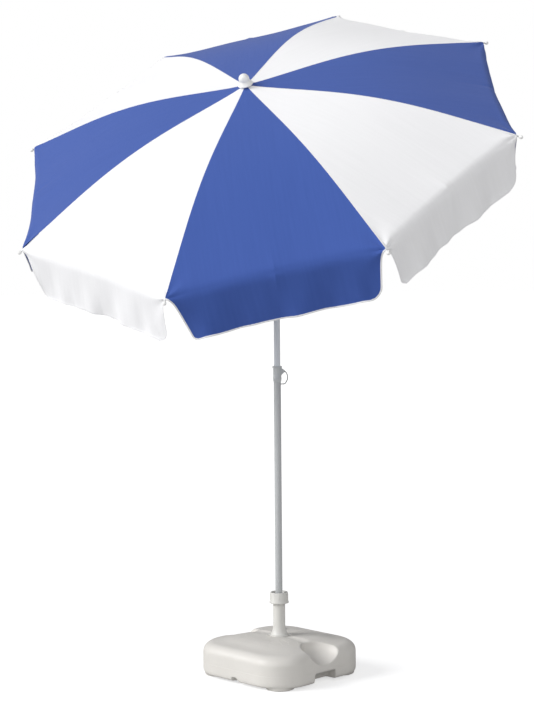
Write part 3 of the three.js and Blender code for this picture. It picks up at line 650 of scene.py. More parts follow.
def swept(name, centres, sideways, normals, half_width, half_thick):
    """A flat band with round edges, swept through centres in mm."""
    around = np.arange(8) * tau / 8
    rings = (
        centres[:, None]
        + sideways[:, None] * (half_width * np.cos(around))[None, :, None]
        + normals[:, None] * (half_thick * np.sin(around))[None, :, None]
    )
    count = len(centres)
    index = np.arange(count * 8).reshape(count, 8)
    beside = np.roll(index, -1, axis=1)
    sides = np.stack([index[:-1], beside[:-1], beside[1:], index[1:]], -1).reshape(-1, 4)
    faces = sides.tolist() + [index[0, ::-1].tolist(), index[-1].tolist()]
    steps = np.linalg.norm(np.diff(centres, axis=0), axis=1)
    far = np.concatenate([[0], np.cumsum(steps)]) * MM
    across = half_width * MM * around[None] / 2
    uv = np.stack(np.broadcast_arrays(across, far[:, None]), -1).reshape(-1, 2)
    piece = cloth_piece(name, rings.reshape(-1, 3), faces, uv)
    open_all()
    faces_out()
    return smoothed(piece, 70)


def cloth_half(gore, side, rib, cloth, colour):
    """The half of a gore that hangs on one rib, with its half of the flap. side is -1 or 1."""
    word = "after" if side < 0 else "before"
    v = (side * (1 - FROM_RIB))[None, :]
    s = ALONG[:, None]
    points, normals = gore.shaped(v, s)
    path = np.where(s < 1, s * COVER_LENGTH, COVER_LENGTH + (s - 1) * VALANCE)
    uv = np.stack([points[..., 1], np.broadcast_to(path, points.shape[:2])], -1) * MM
    piece = sheet_mesh(f"canopy_{rib}_{word}", points, normals, CLOTH_T, uv, side > 0)
    placed(piece, gore.frame)
    finished(piece, cloth, f"rib_{rib}", f"cover_{rib}_{word}_{colour}")
    half_area(gore)
    gather(piece)


def half_area(gore):
    """Flat area of half a gore with half its flap, in square metres, before ripples."""
    points = gore.point(np.linspace(0, 1, 20)[None, :], ALONG[:, None]) * MM
    a = points[1:, :-1] - points[:-1, :-1]
    b = points[:-1, 1:] - points[:-1, :-1]
    return float(np.linalg.norm(np.cross(a, b), axis=-1).sum())


def gather(piece):
    """Gives the piece a mesh of its own."""
    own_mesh(piece)


def tape(name, gore, rib, edge_at, inner_at, sense, shift, size):
    """Flat tape along an edge of the cloth. A sense of 1 lays it inwards of the edge, -1 outwards."""
    edge, normals = gore.shaped(*edge_at)
    inner, _ = gore.shaped(*inner_at)
    aside = np.cross(unit(np.gradient(edge, axis=0)), normals)
    aside = unit(aside * np.sign((aside * (inner - edge)).sum(-1, keepdims=True)) * sense)
    piece = swept(name, edge + aside * shift, aside, normals, size[0] / 2, size[1] / 2)
    placed(piece, gore.frame)
    return finished(piece, BINDING_CLOTH, f"rib_{rib}")


def binding_half(gore, side, rib):
    """White tape bound over the flap's edge, from the rib's tip down the side and along the hem."""
    word = "after" if side < 0 else "before"
    down = merged_steps((1, 1.75, 22), (1.75, 2, 22))[:-1]
    hem = np.linspace(1, 0, 40)
    v = side * np.concatenate([np.ones_like(down), hem])
    s = np.concatenate([down, np.full_like(hem, 2.0)])
    inner_at = (v * 0.9, s - 0.1 * np.clip(s - 1, 0, 1))
    shift = BINDING_SIZE[0] / 2 - BINDING_LAP
    name = f"binding_{rib}_{word}"
    gather(tape(name, gore, rib, (v, s), inner_at, -1, shift, BINDING_SIZE))


def seam(gore, side, rib):
    """Felled seam over the rib, on the white gore's side."""
    s = np.linspace(0.01, 0.995, 90)
    tape(f"seam_{rib}", gore, rib, (side, s), (side * 0.8, s), 1, SEAM_SIZE[0] / 2, SEAM_SIZE)


def make_canopy():
    for number in range(1, RIBS + 1):
        gore = Gore(number)
        white = number % 2 == 1
        cloth, colour = (WHITE_CLOTH, "white") if white else (BLUE_CLOTH, "blue")
        for side, rib in ((-1, number), (1, number % RIBS + 1)):
            cloth_half(gore, side, rib, cloth, colour)
            binding_half(gore, side, rib)
            if white:
                seam(gore, side, rib)


make_canopy()


# ---- base
BASE_SIDE = 450
BASE_CORNER = 115
BASE_CROWN_Z = 136
BASE_SHOULDER_Z = 120
BASE_WALL_Z = 84
BASE_LIFT = 8
BASE_HEEL_H = 16
BASE_HEEL = ((1, 9), (4, 4), (10, 1), (18, 0))  # the wall's foot rounds in: (inset, height)
FOOT_R = 50
FOOT_REACH = 215
SCOOP_DEPTH = 100
SCOOP_WIDTH = 150
SCOOP_FLOOR_Z = 68
GRIP_WIDTH = 104
GRIP_DEPTH = 50
GRIP_TOP_Z = 42
NOTCH_WIDTH = 26
NOTCH_TOP_Z = 24
FILLER_REACH = 105
FILLER_AZIMUTH = 135
FILLER_R = 17
FLARE_R = 34
SEAM_Z = 50
VOXEL = 3.2


def ball(name, size, at):
    """A ball stretched to these half sizes, in mm."""
    deselect()
    bpy.ops.mesh.primitive_uv_sphere_add(
        segments=48, ring_count=24, radius=1, location=Vector(at) * MM, scale=Vector(size) * MM
    )
    return begin(name)


def pick(piece, kind, chosen):
    """Selects the edges or faces of the open piece that the function picks."""
    bpy.ops.mesh.select_all(action="DESELECT")
    cage = bmesh.from_edit_mesh(piece.data)
    for part in getattr(cage, kind):
        if chosen(part):
            part.select_set(True)
    bmesh.update_edit_mesh(piece.data)


def upright(edge):
    return abs((edge.verts[0].co - edge.verts[1].co).normalized().z) > 0.9


def base_shell():
    """The tank: a block with round corners pushed up through its shoulders to the crowned top."""
    low = BASE_LIFT + BASE_HEEL_H
    wall = BASE_WALL_Z - low
    piece = block("base_shell", (BASE_SIDE, BASE_SIDE, wall), (0, 0, low + wall / 2))
    bpy.ops.object.mode_set(mode="EDIT")
    pick(piece, "edges", upright)
    bpy.ops.mesh.bevel(offset=BASE_CORNER * MM, segments=14, affect="EDGES")
    pick(piece, "faces", lambda face: face.normal.z < -0.9)
    heel = [(BASE_SIDE - 2 * inset, BASE_LIFT + height) for inset, height in BASE_HEEL]
    pushed([(BASE_SIDE, low), *heel])
    pick(piece, "faces", lambda face: face.normal.z > 0.9)
    rings = [(BASE_SIDE, BASE_WALL_Z)]
    drop = BASE_SHOULDER_Z - BASE_WALL_Z
    for step in range(1, 10):
        angle = radians(10 * step)
        width = BASE_SIDE - 2 * drop * (1 - cos(angle))
        rings.append((width, BASE_WALL_Z + drop * sin(angle) * 0.985))
    shoulder, level = rings[-1]
    crown = 2 * (FLARE_R + 10)
    for step in range(1, 7):
        part = step / 6
        level += (BASE_CROWN_Z - level) * (1 - (1 - part) ** 1.6)
        rings.append((shoulder + (crown - shoulder) * part, level))
    pushed(rings)
    bpy.ops.object.mode_set(mode="OBJECT")
    return piece


def base_feet():
    feet = [turned("foot", [(FOOT_R - 2, 0), (FOOT_R, 2), (FOOT_R, BASE_LIFT + 6)])]
    for azimuth in (45, 135, 225, 315):
        turn = about_z(azimuth)
        out = Matrix.Translation((FOOT_REACH * MM, 0, 0))
        feet.append(copied(feet[0], f"foot_{azimuth}", turn @ out))
    return feet


def base_cutters():
    """Thumb scoops, grips, drain notches, the socket's well and the filler's neck."""
    edge = BASE_SIDE / 2
    cutters = []
    for azimuth in (0, 180):
        turn = about_z(azimuth)
        size = (SCOOP_DEPTH, SCOOP_WIDTH / 2, BASE_SHOULDER_Z - SCOOP_FLOOR_Z + 6)
        cutters.append(placed(ball("scoop", size, (edge + 4, 0, BASE_SHOULDER_Z + 6)), turn))
        valley = ball("valley", (118, 34, 16), (edge - 96, 0, BASE_CROWN_Z + 9))
        cutters.append(placed(valley, turn))
        grip = disc("grip", GRIP_TOP_Z, GRIP_WIDTH, (0, 0, 0), ACROSS)
        grip = placed(grip, Matrix.Diagonal((GRIP_DEPTH / GRIP_TOP_Z, 1, 1, 1)))
        cutters.append(placed(grip, turn @ Matrix.Translation((edge * MM, 0, 0))))
    for azimuth in (90, 270):
        turn = about_z(azimuth)
        cutters.append(placed(disc("notch", NOTCH_TOP_Z, NOTCH_WIDTH, (edge - 2, 0, 0), ACROSS), turn))
    cutters.append(disc("well", SOCKET_R + 0.3, 120, (0, 0, BASE_CROWN_Z)))
    turn = about_z(FILLER_AZIMUTH)
    cutters.append(placed(disc("neck", FILLER_R + 0.3, 44, (FILLER_REACH, 0, BASE_CROWN_Z)), turn))
    return cutters


def make_base():
    shell = fused(base_shell(), *base_feet())
    cut(shell, *base_cutters())
    apply(shell, "REMESH", mode="VOXEL", voxel_size=VOXEL * MM)
    apply(shell, "SMOOTH", factor=0.5, iterations=7)
    only(shell)
    bpy.ops.object.shade_smooth()
    finished(shell, BASE_PLASTIC, "base", "base_tank")
    mould_line()
    mould_marks(shell)


def mould_line():
    """Flash line round the tank where the two halves of the mould met."""
    outline = []
    reach = (BASE_SIDE / 2 - 0.4 - BASE_CORNER) * sqrt(2)
    for quarter in range(4):
        middle = (quarter + 0.5) * pi / 2
        for k in range(15):
            angle = (quarter + k / 14) * pi / 2
            x = reach * cos(middle) + BASE_CORNER * cos(angle)
            y = reach * sin(middle) + BASE_CORNER * sin(angle)
            outline.append((x, y, SEAM_Z))
    line = wire("mould_line", outline, 0.9, closed=True, smooth=False)
    finished(line, BASE_PLASTIC, "base")


def mould_marks(shell):
    """Low ribs that fan out over the shell's top from the socket's foot."""
    rng = random.Random(7)
    for side, azimuth in (("front", -45), ("back", 135)):
        for k in range(5):
            angle = radians(azimuth + (k - 2) * 15 + rng.uniform(-2, 2))
            route = []
            for step in range(9):
                reach = 58 + step * 10
                swing = angle + 0.05 * sin(step * 0.8 + k)
                x = reach * cos(swing)
                y = reach * sin(swing)
                _, at, _, _ = shell.ray_cast(Vector((x, y, 2 * BASE_CROWN_Z)) * MM, -UP)
                route.append((x, y, at.z / MM - 0.9))
            mark = wire(f"mould_mark_{side}_{k}", route, 1.5)
            finished(mark, BASE_PLASTIC, "base")


# ---- socket, nut and cap
SOCKET_R = 21.5
SOCKET_WALL = 2
SOCKET_TOP_Z = 274
FLARE_H = 38
LUG_REACH = 45
NUT_Z = 253
NUT_H = 38
NUT_R = 31.5
GAP = 0.3
RUN_GAP = 0.5
FILLER_DEPTH = 22


def make_socket():
    """Standing tube with a flared foot, two keying lugs and a ring of clamping fingers."""
    bore = SOCKET_R - SOCKET_WALL
    seat = BASE_CROWN_Z + GAP
    flare = []
    steepest = radians(75)
    for step in range(11):
        angle = steepest * step / 10
        inward = sin(angle) / sin(steepest)
        upward = (1 - cos(angle)) / (1 - cos(steepest))
        reach = FLARE_R - (FLARE_R - SOCKET_R) * inward
        flare.append((reach, seat + 3 + (FLARE_H - 3) * upward))
    profile = [(bore, 60), (SOCKET_R, 60), (SOCKET_R, seat), (FLARE_R, seat), *flare]
    profile += [(SOCKET_R, SOCKET_TOP_Z), (bore, SOCKET_TOP_Z)]
    tube = turned("socket", profile, hollow=True, segments=64)
    low = NUT_Z - 6
    high = SOCKET_TOP_Z + 5
    slit = block("slit", (3 * SOCKET_R, 1.6, high - low), (0, 0, (high + low) / 2))
    cut(tube, *spun(slit, 8))
    for azimuth in (45, 225):
        lug = block(f"lug_{azimuth}", (22, 9, 4), (LUG_REACH - 11, 0, seat + 2))
        fused(tube, placed(lug, about_z(azimuth)))
    eased(tube, 0.5)
    finished(tube, SOCKET_PLASTIC, "base", "socket_tube")


def make_nut():
    """Skirted nut, hollow at the top round the pole, with low finger ribs."""
    top = NUT_Z + NUT_H
    bore = SOCKET_R + RUN_GAP
    mouth = SOCKET_R - 4
    ceiling = SOCKET_TOP_Z + 5
    profile = [(bore, NUT_Z), (NUT_R + 3, NUT_Z), (NUT_R + 3, NUT_Z + 4), (NUT_R + 0.9, NUT_Z + 7.5)]
    profile += [(NUT_R, top - 1), (NUT_R - 1, top), (NUT_R - 3.5, top), (NUT_R - 5, top - 1.5)]
    profile += [(mouth + 5, ceiling + 4), (mouth, ceiling + 3), (mouth, ceiling), (bore, ceiling - 1)]
    nut = turned("nut", profile, hollow=True, segments=72)
    eased(nut, 0.8, 3)
    finished(nut, SOCKET_PLASTIC, "clamp_nut", "clamp_nut")
    flute = disc("nut_rib", 1.3, NUT_H - 14, (NUT_R - 0.3, 0, NUT_Z + NUT_H / 2 + 2), segments=12)
    eased(flute, 0.6)
    for number, rib in enumerate(spun(flute, 12, radians(15))):
        rib.name = f"nut_rib_{number}"
        finished(rib, SOCKET_PLASTIC, "clamp_nut")


def make_filler_cap():
    seat = BASE_CROWN_Z + 1
    profile = [(0.4, seat - FILLER_DEPTH + 3), (FILLER_R, seat - FILLER_DEPTH + 3), (FILLER_R, seat)]
    profile += [(FILLER_R + 4, seat), (FILLER_R + 4, seat + 5), (FILLER_R + 2.5, seat + 7)]
    profile.append((0.4, seat + 7))
    cap = turned("cap", profile, segments=56)
    knurl = disc("knurl", 1.2, 12, (FILLER_R + 4.5, 0, seat + 3), segments=10)
    cut(cap, *spun(knurl, 24))
    cut(cap, block("coin_slot", (FILLER_R * 1.4, 3, 4), (0, 0, seat + 7)))
    eased(cap, 0.4)
    at = about_z(FILLER_AZIMUTH) @ Vector((FILLER_REACH * MM, 0, 0))
    placed(cap, Matrix.Translation(at))
    finished(cap, SOCKET_PLASTIC, "filler_cap", "filler_cap")


def make_collet():
    low, high = heights("collet_sleeve")
    sleeve = pipe("collet", LOWER_R + GAP, SOCKET_R - SOCKET_WALL - GAP, low, high)
    cut(sleeve, block("split", (24, 2.4, 220), (SOCKET_R - 6, 0, high)))
    eased(sleeve, 0.6)
    finished(sleeve, SOCKET_PLASTIC, "base", "collet_sleeve")


# ---- poles, collar and clip
UPPER_R = 11
UPPER_WALL = 1
LOWER_WALL = 1.2
LOWER_R = UPPER_R + GAP + LOWER_WALL
LOWER_TOP_Z = 1087
COLLAR_TOP_Z = LOWER_TOP_Z + 5
COLLAR_H = 56
COLLAR_R = LOWER_R + GAP + 1.5
CLIP_AZIMUTH = 45
CLIP_WIRE_R = 1.6
CLIP_EYE_REACH = COLLAR_R + 9.2
CLIP_EYE_Z = COLLAR_TOP_Z - 18
CLIP_HEIGHT = 45
CLIP_BULGE = 14
HOLE_REACH = 30
HOLE_PITCH = 60
HOLE_COUNT = 6


def pin_hole(z):
    hole = disc("hole", CLIP_WIRE_R + RUN_GAP, HOLE_REACH, (HOLE_REACH / 2, 0, z), (0, 90, 0), 16)
    return placed(hole, about_z(CLIP_AZIMUTH))


def make_poles():
    pin_z = CLIP_EYE_Z - CLIP_HEIGHT
    lower = pipe("lower_tube", LOWER_R - LOWER_WALL, LOWER_R, *heights("lower_pole"), 64)
    cut(lower, pin_hole(pin_z))
    eased(lower, 0.3)
    finished(lower, LOWER_PAINT, "lower_pole", "lower_pole")
    upper = pipe("upper_tube", UPPER_R - UPPER_WALL, UPPER_R, *heights("upper_pole"), 64)
    cut(upper, *[pin_hole(pin_z - k * HOLE_PITCH) for k in range(HOLE_COUNT)])
    eased(upper, 0.3)
    finished(upper, UPPER_PAINT_LIGHTENED_FOR_SHADE, "upper_pole", "upper_pole")


def make_collar():
    """Collar on the lower tube's mouth, its web drilled for the clip's wire."""
    bottom = COLLAR_TOP_Z - COLLAR_H
    bore = LOWER_R + GAP
    wall, mouth, top, stop = COLLAR_R, UPPER_R + GAP, COLLAR_TOP_Z, LOWER_TOP_Z + GAP
    profile = [(bore, bottom), (wall - 0.9, bottom), (wall + 0.8, bottom + 13)]
    profile += [(wall + 0.8, bottom + 15), (wall, bottom + 16.5), (wall, top - 7)]
    profile += [(wall + 2.7, top - 5.5), (wall + 2.7, top - 1), (wall + 1.5, top)]
    profile += [(mouth, top), (mouth, stop), (bore, stop)]
    collar = turned("collar", profile, hollow=True, segments=64)
    fused(collar, web_plate())
    cut(collar, disc("eye", CLIP_WIRE_R + RUN_GAP, 20, (CLIP_EYE_REACH, 0, CLIP_EYE_Z), ACROSS, 20))
    placed(collar, about_z(CLIP_AZIMUTH))
    cut(collar, pin_hole(CLIP_EYE_Z - CLIP_HEIGHT))
    eased(collar, 0.45)
    finished(collar, JOINT_PLASTIC, "lower_pole", "height_collar")


def web_plate():
    """Triangular web with a round nose, in the XZ plane: a small face pushed out along its outline."""
    outline = [(COLLAR_R - 0.8, 11), (COLLAR_R + 1.4, 11), (CLIP_EYE_REACH + 3, 3.2)]
    for degrees in (20, -10, -40, -70):
        angle = radians(degrees)
        outline.append((CLIP_EYE_REACH + 4.4 * cos(angle), 4.4 * sin(angle)))
    outline += [(COLLAR_R + 1.2, -13), (COLLAR_R - 0.8, -18)]
    deselect()
    bpy.ops.mesh.primitive_circle_add(vertices=len(outline), radius=0.01, fill_type="NGON")
    web = begin("web")
    for vertex, (x, z) in zip(web.data.vertices, outline):
        vertex.co = Vector((x, -2, CLIP_EYE_Z + z)) * MM
    open_all()
    bpy.ops.mesh.extrude_region_move(TRANSFORM_OT_translate={"value": (0, 4 * MM, 0)})
    faces_out()
    return web


def make_clip():
    """Spring wire hooked through the web, bowed outwards, its end in the tube's hole."""
    hook, eye, foot = 4.6, CLIP_EYE_REACH, -CLIP_HEIGHT
    bow = eye + CLIP_BULGE
    route = [(eye, -hook, 0), (eye, 0, 0), (eye, hook - 1, 0), (eye + 1, hook, 0)]
    route += [(eye + 4.5, hook, -0.5), (bow - 3, hook * 0.6, -9), (bow, hook * 0.2, -22)]
    route += [(bow - 4, 0, -35), (bow - 11, 0, foot), (bow - 17, 0, foot)]
    route += [(LOWER_R + 2, 0, foot), (LOWER_R - LOWER_WALL / 2, 0, foot)]
    clip = wire("clip", route, CLIP_WIRE_R)
    turn = about_z(CLIP_AZIMUTH)
    placed(clip, turn @ Matrix.Translation((0, 0, CLIP_EYE_Z * MM)))
    finished(clip, CLIP_STEEL, "locking_clip", "locking_clip")


# ---- tilt joint
KNUCKLE_R = 11
TONGUE_T = 8
CHEEK_T = 5
PIVOT_R = 2.5
FORK_FLOOR = -KNUCKLE_R - 11
BUTTON_R = 3.2
BUTTON_Z = 2 - KNUCKLE_R
BUTTON_PROUD = 2.4
HEAD_FOOT_Z = KNUCKLE_R + 5


def make_tilt_joint():
    """Fork on the upper tube, tongue on the head pole, pin through both, press button in a cheek."""
    low = FORK_FLOOR - 28
    outer = UPPER_R + 2.5
    half = TONGUE_T / 2 + GAP + CHEEK_T
    bore = UPPER_R + GAP
    profile = [(bore, low), (outer, low), (outer, FORK_FLOOR), (outer - 2, FORK_FLOOR + 3)]
    profile += [(0.3, FORK_FLOOR + 3), (0.3, FORK_FLOOR - 3), (bore, FORK_FLOOR - 3)]
    socket = turned("fork", profile, hollow=True)
    stem = block("stem", (2 * KNUCKLE_R, 2 * half, -FORK_FLOOR), (0, 0, FORK_FLOOR / 2 + 1))
    ears = disc("ears", KNUCKLE_R, 2 * half, (0, 0, 0), ACROSS, 56)
    fork = fused(socket, stem, ears)
    slot = block("slot", (4 * KNUCKLE_R, TONGUE_T + 2 * GAP, 2 * KNUCKLE_R + 4), (0, 0, 1))
    pocket = disc("pocket", BUTTON_R + GAP, 8.4, (0, half, BUTTON_Z), ACROSS)
    cut(fork, slot, disc("bore", PIVOT_R + GAP, 4 * half, (0, 0, 0), ACROSS), pocket)
    eased(fork, 0.8, 3)
    finished(placed(fork, TILT_JOINT), JOINT_PLASTIC, "upper_pole", "tilt_fork")
    button = disc("button", BUTTON_R, 4.1, (0, half + BUTTON_PROUD - 2.05, BUTTON_Z), ACROSS)
    eased(button, 0.7, 3)
    finished(placed(button, TILT_JOINT), WHITE_PLASTIC, "tilt_button", "tilt_button")
    reach = half + GAP
    pin = disc("pin", PIVOT_R, 2 * reach + 2, (0, 0, 0), ACROSS)
    for side in (-1, 1):
        fused(pin, disc("pin_head", 2 * PIVOT_R, 1.6, (0, side * (reach + 0.8), 0), ACROSS))
    eased(pin, 0.5, 3)
    finished(placed(pin, TILT_JOINT), CLIP_STEEL, "upper_pole", "tilt_pin")
    tongue = disc("knuckle", KNUCKLE_R, TONGUE_T, (0, 0, 0), ACROSS, 56)
    neck = block("neck", (1.5 * KNUCKLE_R, TONGUE_T, HEAD_FOOT_Z - 1), (0, 0, (HEAD_FOOT_Z - 1) / 2))
    shoulder = turned("shoulder", [(UPPER_R, HEAD_FOOT_Z - 2), (UPPER_R, HEAD_FOOT_Z - GAP)])
    inside = UPPER_R - UPPER_WALL - GAP
    plug = turned("plug", [(inside, HEAD_FOOT_Z - 1), (inside, HEAD_FOOT_Z + 27)])
    cut(fused(tongue, neck, shoulder, plug), disc("bore", PIVOT_R + GAP, 20, (0, 0, 0), ACROSS))
    eased(tongue, 0.6, 3)
    finished(placed(tongue, HEAD), JOINT_PLASTIC, "head", "tilt_knuckle")


# ---- head pole, crown, finial and runner
HUB_Z = HEAD_HEIGHT - HUB_DEPTH
TAB_T = 2.4
TAB_R = 3.5
WIRE_R = 1
CROWN_R = HUB_R + 6
CROWN_TOP = HUB_Z + TAB_R + 2.2
FINIAL_FLANGE_R = 26
FINIAL_KNOB_R = 18
FINIAL_H = 38
FINIAL_STEM_R = 4
STRUT_REACH = 220
STRUT_DROP = 7.2
STRUT_DEPTH = 139.8
STRUT_RUN = STRUT_REACH - HUB_R
STRUT_LENGTH = hypot(STRUT_RUN, STRUT_DEPTH)
STRUT_TOP_Z = float(rib_height(STRUT_REACH)) - STRUT_DROP
RUNNER_Z = STRUT_TOP_Z - STRUT_DEPTH
RUNNER_FLANGE_R = HUB_R + 10
RUNNER_FLANGE_H = 12
RUNNER_SLEEVE_R = UPPER_R + RUN_GAP + 4.5
RUNNER_SLEEVE_H = 48
CATCH_Z = RUNNER_Z + RUNNER_FLANGE_H / 2 + RUNNER_SLEEVE_H * 0.55
CATCH_R = 5
RIB_SPIN = HEAD.inverted().to_3x3() @ (rib_frame(1).to_3x3() @ Vector((1, 0, 0)))
RIB_AZIMUTH = atan2(RIB_SPIN.y, RIB_SPIN.x)


def radial_slots(inner, outer, width, low, high):
    slot = block("notch", (outer - inner, width, high - low), ((outer + inner) / 2, 0, (high + low) / 2))
    return spun(slot, RIBS, RIB_AZIMUTH)


def make_head():
    pole = pipe("head_tube", UPPER_R - UPPER_WALL, UPPER_R, HEAD_FOOT_Z, HUB_Z - TAB_R - 8, 64)
    eased(pole, 0.3)
    finished(placed(pole, HEAD), UPPER_PAINT_LIGHTENED_FOR_SHADE, "head", "head_pole")
    make_crown()
    make_finial()
    make_runner()


def make_crown():
    plate = HUB_Z - TAB_R - 3
    seat = HUB_Z - TAB_R - 8 + GAP
    bore = UPPER_R + GAP
    stem = FINIAL_STEM_R + GAP
    profile = [(bore, seat - 26), (bore + 3.2, seat - 26), (bore + 4.2, plate - 3), (CROWN_R, plate)]
    profile += [(CROWN_R, CROWN_TOP), (stem, CROWN_TOP), (stem, seat), (bore, seat)]
    crown = turned("crown_hub", profile, hollow=True, segments=64)
    inner = HUB_R - TAB_R - 1
    cut(crown, *radial_slots(inner, CROWN_R + 4, TAB_T + 1.2, plate - 8, HUB_Z + TAB_R + 0.6))
    eased(crown, 0.5)
    finished(placed(crown, HEAD), WHITE_PLASTIC, "head", "crown")
    ring = [(HUB_R * cos(a), HUB_R * sin(a), HUB_Z) for a in np.arange(24) * tau / 24]
    hub_wire = wire("crown_ring", ring, WIRE_R, closed=True)
    finished(placed(hub_wire, HEAD), CLIP_STEEL, "head", "crown_wire")


def make_finial():
    """Round knob on a flange that pinches the cover against the crown."""
    seat = HEAD_HEIGHT + COVER_T / 2 + GAP
    centre = seat + FINIAL_H - FINIAL_KNOB_R
    dome = []
    for degrees in range(-18, 90, 9):
        angle = radians(degrees)
        dome.append((FINIAL_KNOB_R * cos(angle), centre + FINIAL_KNOB_R * sin(angle)))
    profile = [(FINIAL_STEM_R, HUB_Z - 4), (FINIAL_STEM_R, seat), (FINIAL_FLANGE_R, seat - 1)]
    profile += [(FINIAL_FLANGE_R, seat + 2), (FINIAL_FLANGE_R - 2, seat + 4)]
    profile += [(FINIAL_KNOB_R * 1.15, seat + 8.5), *dome]
    knob = turned("finial_knob", profile, segments=64)
    eased(knob, 0.8, 3, 50)
    finished(placed(knob, HEAD), WHITE_PLASTIC, "head", "finial")


def make_runner():
    """Sleeve with a notched flange for the struts and a press catch."""
    low = RUNNER_Z - RUNNER_FLANGE_H / 2
    high = RUNNER_Z + RUNNER_FLANGE_H / 2
    top = high + RUNNER_SLEEVE_H
    bore, wall, flange = UPPER_R + RUN_GAP, RUNNER_SLEEVE_R, RUNNER_FLANGE_R
    profile = [(bore, low), (flange, low), (flange, high), (wall + 1, high + 1), (wall, high + 4)]
    profile += [(wall - 0.5, top), (bore, top)]
    sleeve = turned("runner_sleeve", profile, hollow=True, segments=64)
    cut(sleeve, *radial_slots(HUB_R - TAB_R - 0.8, flange + 4, TAB_T + 2, low - 4, high + 6))
    cut(sleeve, disc("pocket", CATCH_R + GAP, 10, (wall + 2, 0, CATCH_Z), (0, 90, 0)))
    eased(sleeve, 0.5)
    finished(placed(sleeve, HEAD), WHITE_PLASTIC, "runner", "runner")
    inner = wall - 0.7
    outer = wall + 3.4
    catch = disc("catch", CATCH_R, outer - inner, ((inner + outer) / 2, 0, CATCH_Z), (0, 90, 0))
    eased(catch, 0.8, 3)
    finished(placed(catch, HEAD), JOINT_PLASTIC, "runner_catch", "runner_catch")


# ---- ribs, tips and struts
TIP_START_R = SPAN_R + 1


def rib_model():
    """Round rod bent to the cover's profile, with a flat eye at the crown and a lug for its strut."""
    start = HUB_R + 12
    route = [(r, 0, float(rib_height(r))) for r in np.linspace(start, TIP_START_R + 4, 26)]
    rod = wire("rib_rod", route, RIB_R)
    rise = route[0][2] - HUB_Z
    lean = Matrix.Rotation(-atan2(rise, 12), 4, "Y")
    neck = placed(block("neck", (15, TAB_T, 2 * RIB_R), (7.5, 0, 0)), lean)
    placed(neck, Matrix.Translation((HUB_R * MM, 0, HUB_Z * MM)))
    eye = disc("eye", TAB_R, TAB_T, (HUB_R, 0, HUB_Z), ACROSS, 32)
    lug = disc("lug", TAB_R, TAB_T, (STRUT_REACH, 0, STRUT_TOP_Z), ACROSS, 32)
    web = block("web", (2 * TAB_R, TAB_T, STRUT_DROP), (STRUT_REACH, 0, STRUT_TOP_Z + STRUT_DROP / 2))
    flat = fused(neck, eye)
    cut(flat, disc("hole", WIRE_R + GAP, 8, (HUB_R, 0, HUB_Z), ACROSS, 20))
    eased(flat, 0.3)
    bracket = fused(web, lug)
    cut(bracket, disc("hole", WIRE_R + GAP, 8, (STRUT_REACH, 0, STRUT_TOP_Z), ACROSS, 20))
    eased(bracket, 0.3)
    return joined(rod, flat, bracket)


def joined(first, *others):
    deselect()
    for piece in (first, *others):
        piece.select_set(True)
    bpy.context.view_layer.objects.active = first
    bpy.ops.object.join()
    return first


def tip_model():
    """Plastic cap on the rib's end, with a groove behind its round bead."""
    profile = [(RIB_R + 1.2, 5), (5, 8.5), (6, 11), (6, 13.5), (5.2, 16), (3.4, 18), (1.2, 19)]
    tip = turned("tip", profile, segments=32)
    eased(tip, 0.5)
    slope = atan(OUTER_SLOPE)
    at = Matrix.Translation(Vector((TIP_START_R, 0, float(rib_height(TIP_START_R)))) * MM)
    return placed(tip, at @ Matrix.Rotation(pi / 2 + slope, 4, "Y"))


def strut_model():
    """Fork and pin at the rib, round rod, flat eye in the runner's notch."""
    cheek = 1.3
    gap = TAB_T + 2 * GAP
    half = gap / 2 + cheek
    heights = (TAB_R + 7, 80, 160, STRUT_LENGTH - TAB_R - 6)
    rod = wire("strut_rod", [(0, 0, height) for height in heights], 2)
    yoke = block("yoke", (2 * TAB_R - 1, 2 * half, TAB_R + 9), (0, 0, (TAB_R + 9) / 2))
    fork = fused(yoke, disc("ears", TAB_R, 2 * half, (0, 0, 0), ACROSS, 32))
    cut(fork, block("slot", (4 * TAB_R, gap, 3 * TAB_R + 4), (0, 0, 2)))
    eased(fork, 0.3)
    pin = eased(disc("pin", WIRE_R, 2 * half + 1.6, (0, 0, 0), ACROSS, 20), 0.3)
    blade = block("blade", (4, TAB_T, 12), (0, 0, STRUT_LENGTH - 6))
    foot = fused(blade, disc("foot", TAB_R, TAB_T, (0, 0, STRUT_LENGTH), ACROSS, 32))
    cut(foot, disc("hole", WIRE_R + GAP, 8, (0, 0, STRUT_LENGTH), ACROSS, 20))
    eased(foot, 0.3)
    strut = joined(rod, fork, pin, foot)
    turn = Matrix.Rotation(pi + asin(STRUT_RUN / STRUT_LENGTH), 4, "Y")
    return placed(strut, Matrix.Translation((STRUT_REACH * MM, 0, STRUT_TOP_Z * MM)) @ turn)


def make_ribs():
    """Models each piece of a rib once and sets a copy at every rib."""
    kinds = (
        (rib_model(), "rod", RIB_STEEL, "rib", "rib"),
        (tip_model(), "tip", WHITE_PLASTIC, "rib", "rib_tip"),
        (strut_model(), "strut", RIB_STEEL, "strut", "strut"),
    )
    for model, name, finish, body, node in kinds:
        for rib in range(1, RIBS + 1):
            piece = copied(model, f"{name}_{rib}", rib_frame(rib))
            finished(piece, finish, f"{body}_{rib}", f"{node}_{rib}")
        bpy.data.objects.remove(model)


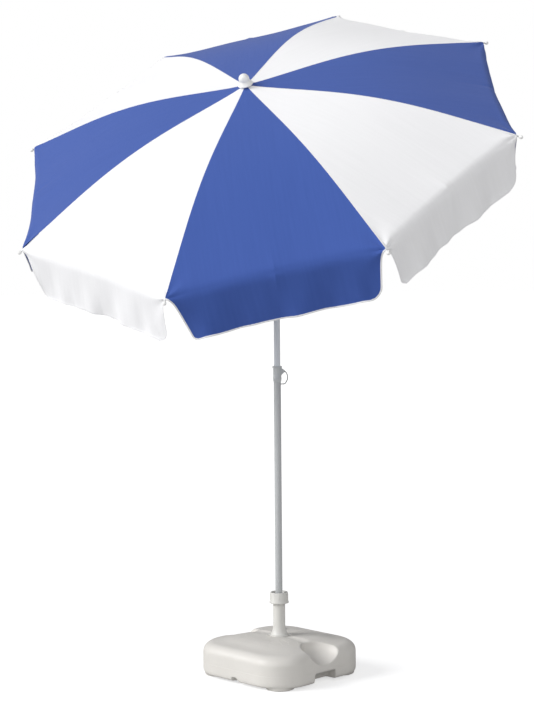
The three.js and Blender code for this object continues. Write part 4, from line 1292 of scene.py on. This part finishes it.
def make_foot_plug():
    low, top = heights("pole_foot_plug")
    profile = [(LOWER_R - 1, low), (LOWER_R, low + 1), (LOWER_R, top - 22 - GAP)]
    plug = turned("foot_plug", [*profile, (9.8, top - 22), (8.8, top)])
    eased(plug, 0.4)
    finished(plug, JOINT_PLASTIC, "lower_pole", "pole_foot_plug")


make_base()
make_socket()
make_nut()
make_filler_cap()
make_collet()
make_poles()
make_collar()
make_clip()
make_tilt_joint()
make_head()
make_ribs()
make_foot_plug()


# ---- floor and light
AMBIENT = 0.32
FLOOR_GLOW = 0.62
KEY_FROM = (-0.47, -0.75, 0.5)
KEY_STRENGTH = 2.6
FILL_FROM = (0.9, -0.45, 0.12)
FILL_STRENGTH = 1.35


def seen_directly(tree, strength, otherwise):
    """One strength for what is looked at, another for the light that it sheds."""
    path = add_node(tree, "ShaderNodeLightPath", {})
    ends = {"Value": path.outputs["Is Camera Ray"], "To Min": otherwise, "To Max": strength}
    return add_node(tree, "ShaderNodeMapRange", ends).outputs["Result"]


def make_stage():
    """A plain white sweep: the floor, and a world that is white to the eye and dimmer as light."""
    deselect()
    bpy.ops.mesh.primitive_circle_add(vertices=96, radius=60, fill_type="NGON")
    floor = begin("floor")
    matt = {"Base Color": linear("#C8C8C8"), "Roughness": 0.9}
    paint, tree, principled = new_material("floor_paint", matt)
    principled.inputs["Emission Color"].default_value = (1, 1, 1, 1)
    tree.links.new(seen_directly(tree, FLOOR_GLOW, 0), principled.inputs["Emission Strength"])
    floor.data.materials.append(paint)
    world = bpy.data.worlds.new("studio")
    bpy.context.scene.world = world
    world.use_nodes = True
    sky = world.node_tree.nodes["Background"]
    sky.inputs["Color"].default_value = (1, 1, 1, 1)
    world.node_tree.links.new(seen_directly(world.node_tree, 1, AMBIENT), sky.inputs["Strength"])
    lamp("key", KEY_FROM, KEY_STRENGTH, 35)
    lamp("fill", FILL_FROM, FILL_STRENGTH, 90)
    bpy.context.scene.view_settings.view_transform = "Standard"


def lamp(name, come_from, strength, softness):
    """A far, broad light from a direction."""
    light = bpy.data.lights.new(name, "SUN")
    light.energy = strength
    light.angle = radians(softness)
    made = added(name, light)
    made.rotation_euler = Vector(come_from).to_track_quat("Z", "Y").to_euler()


make_stage()
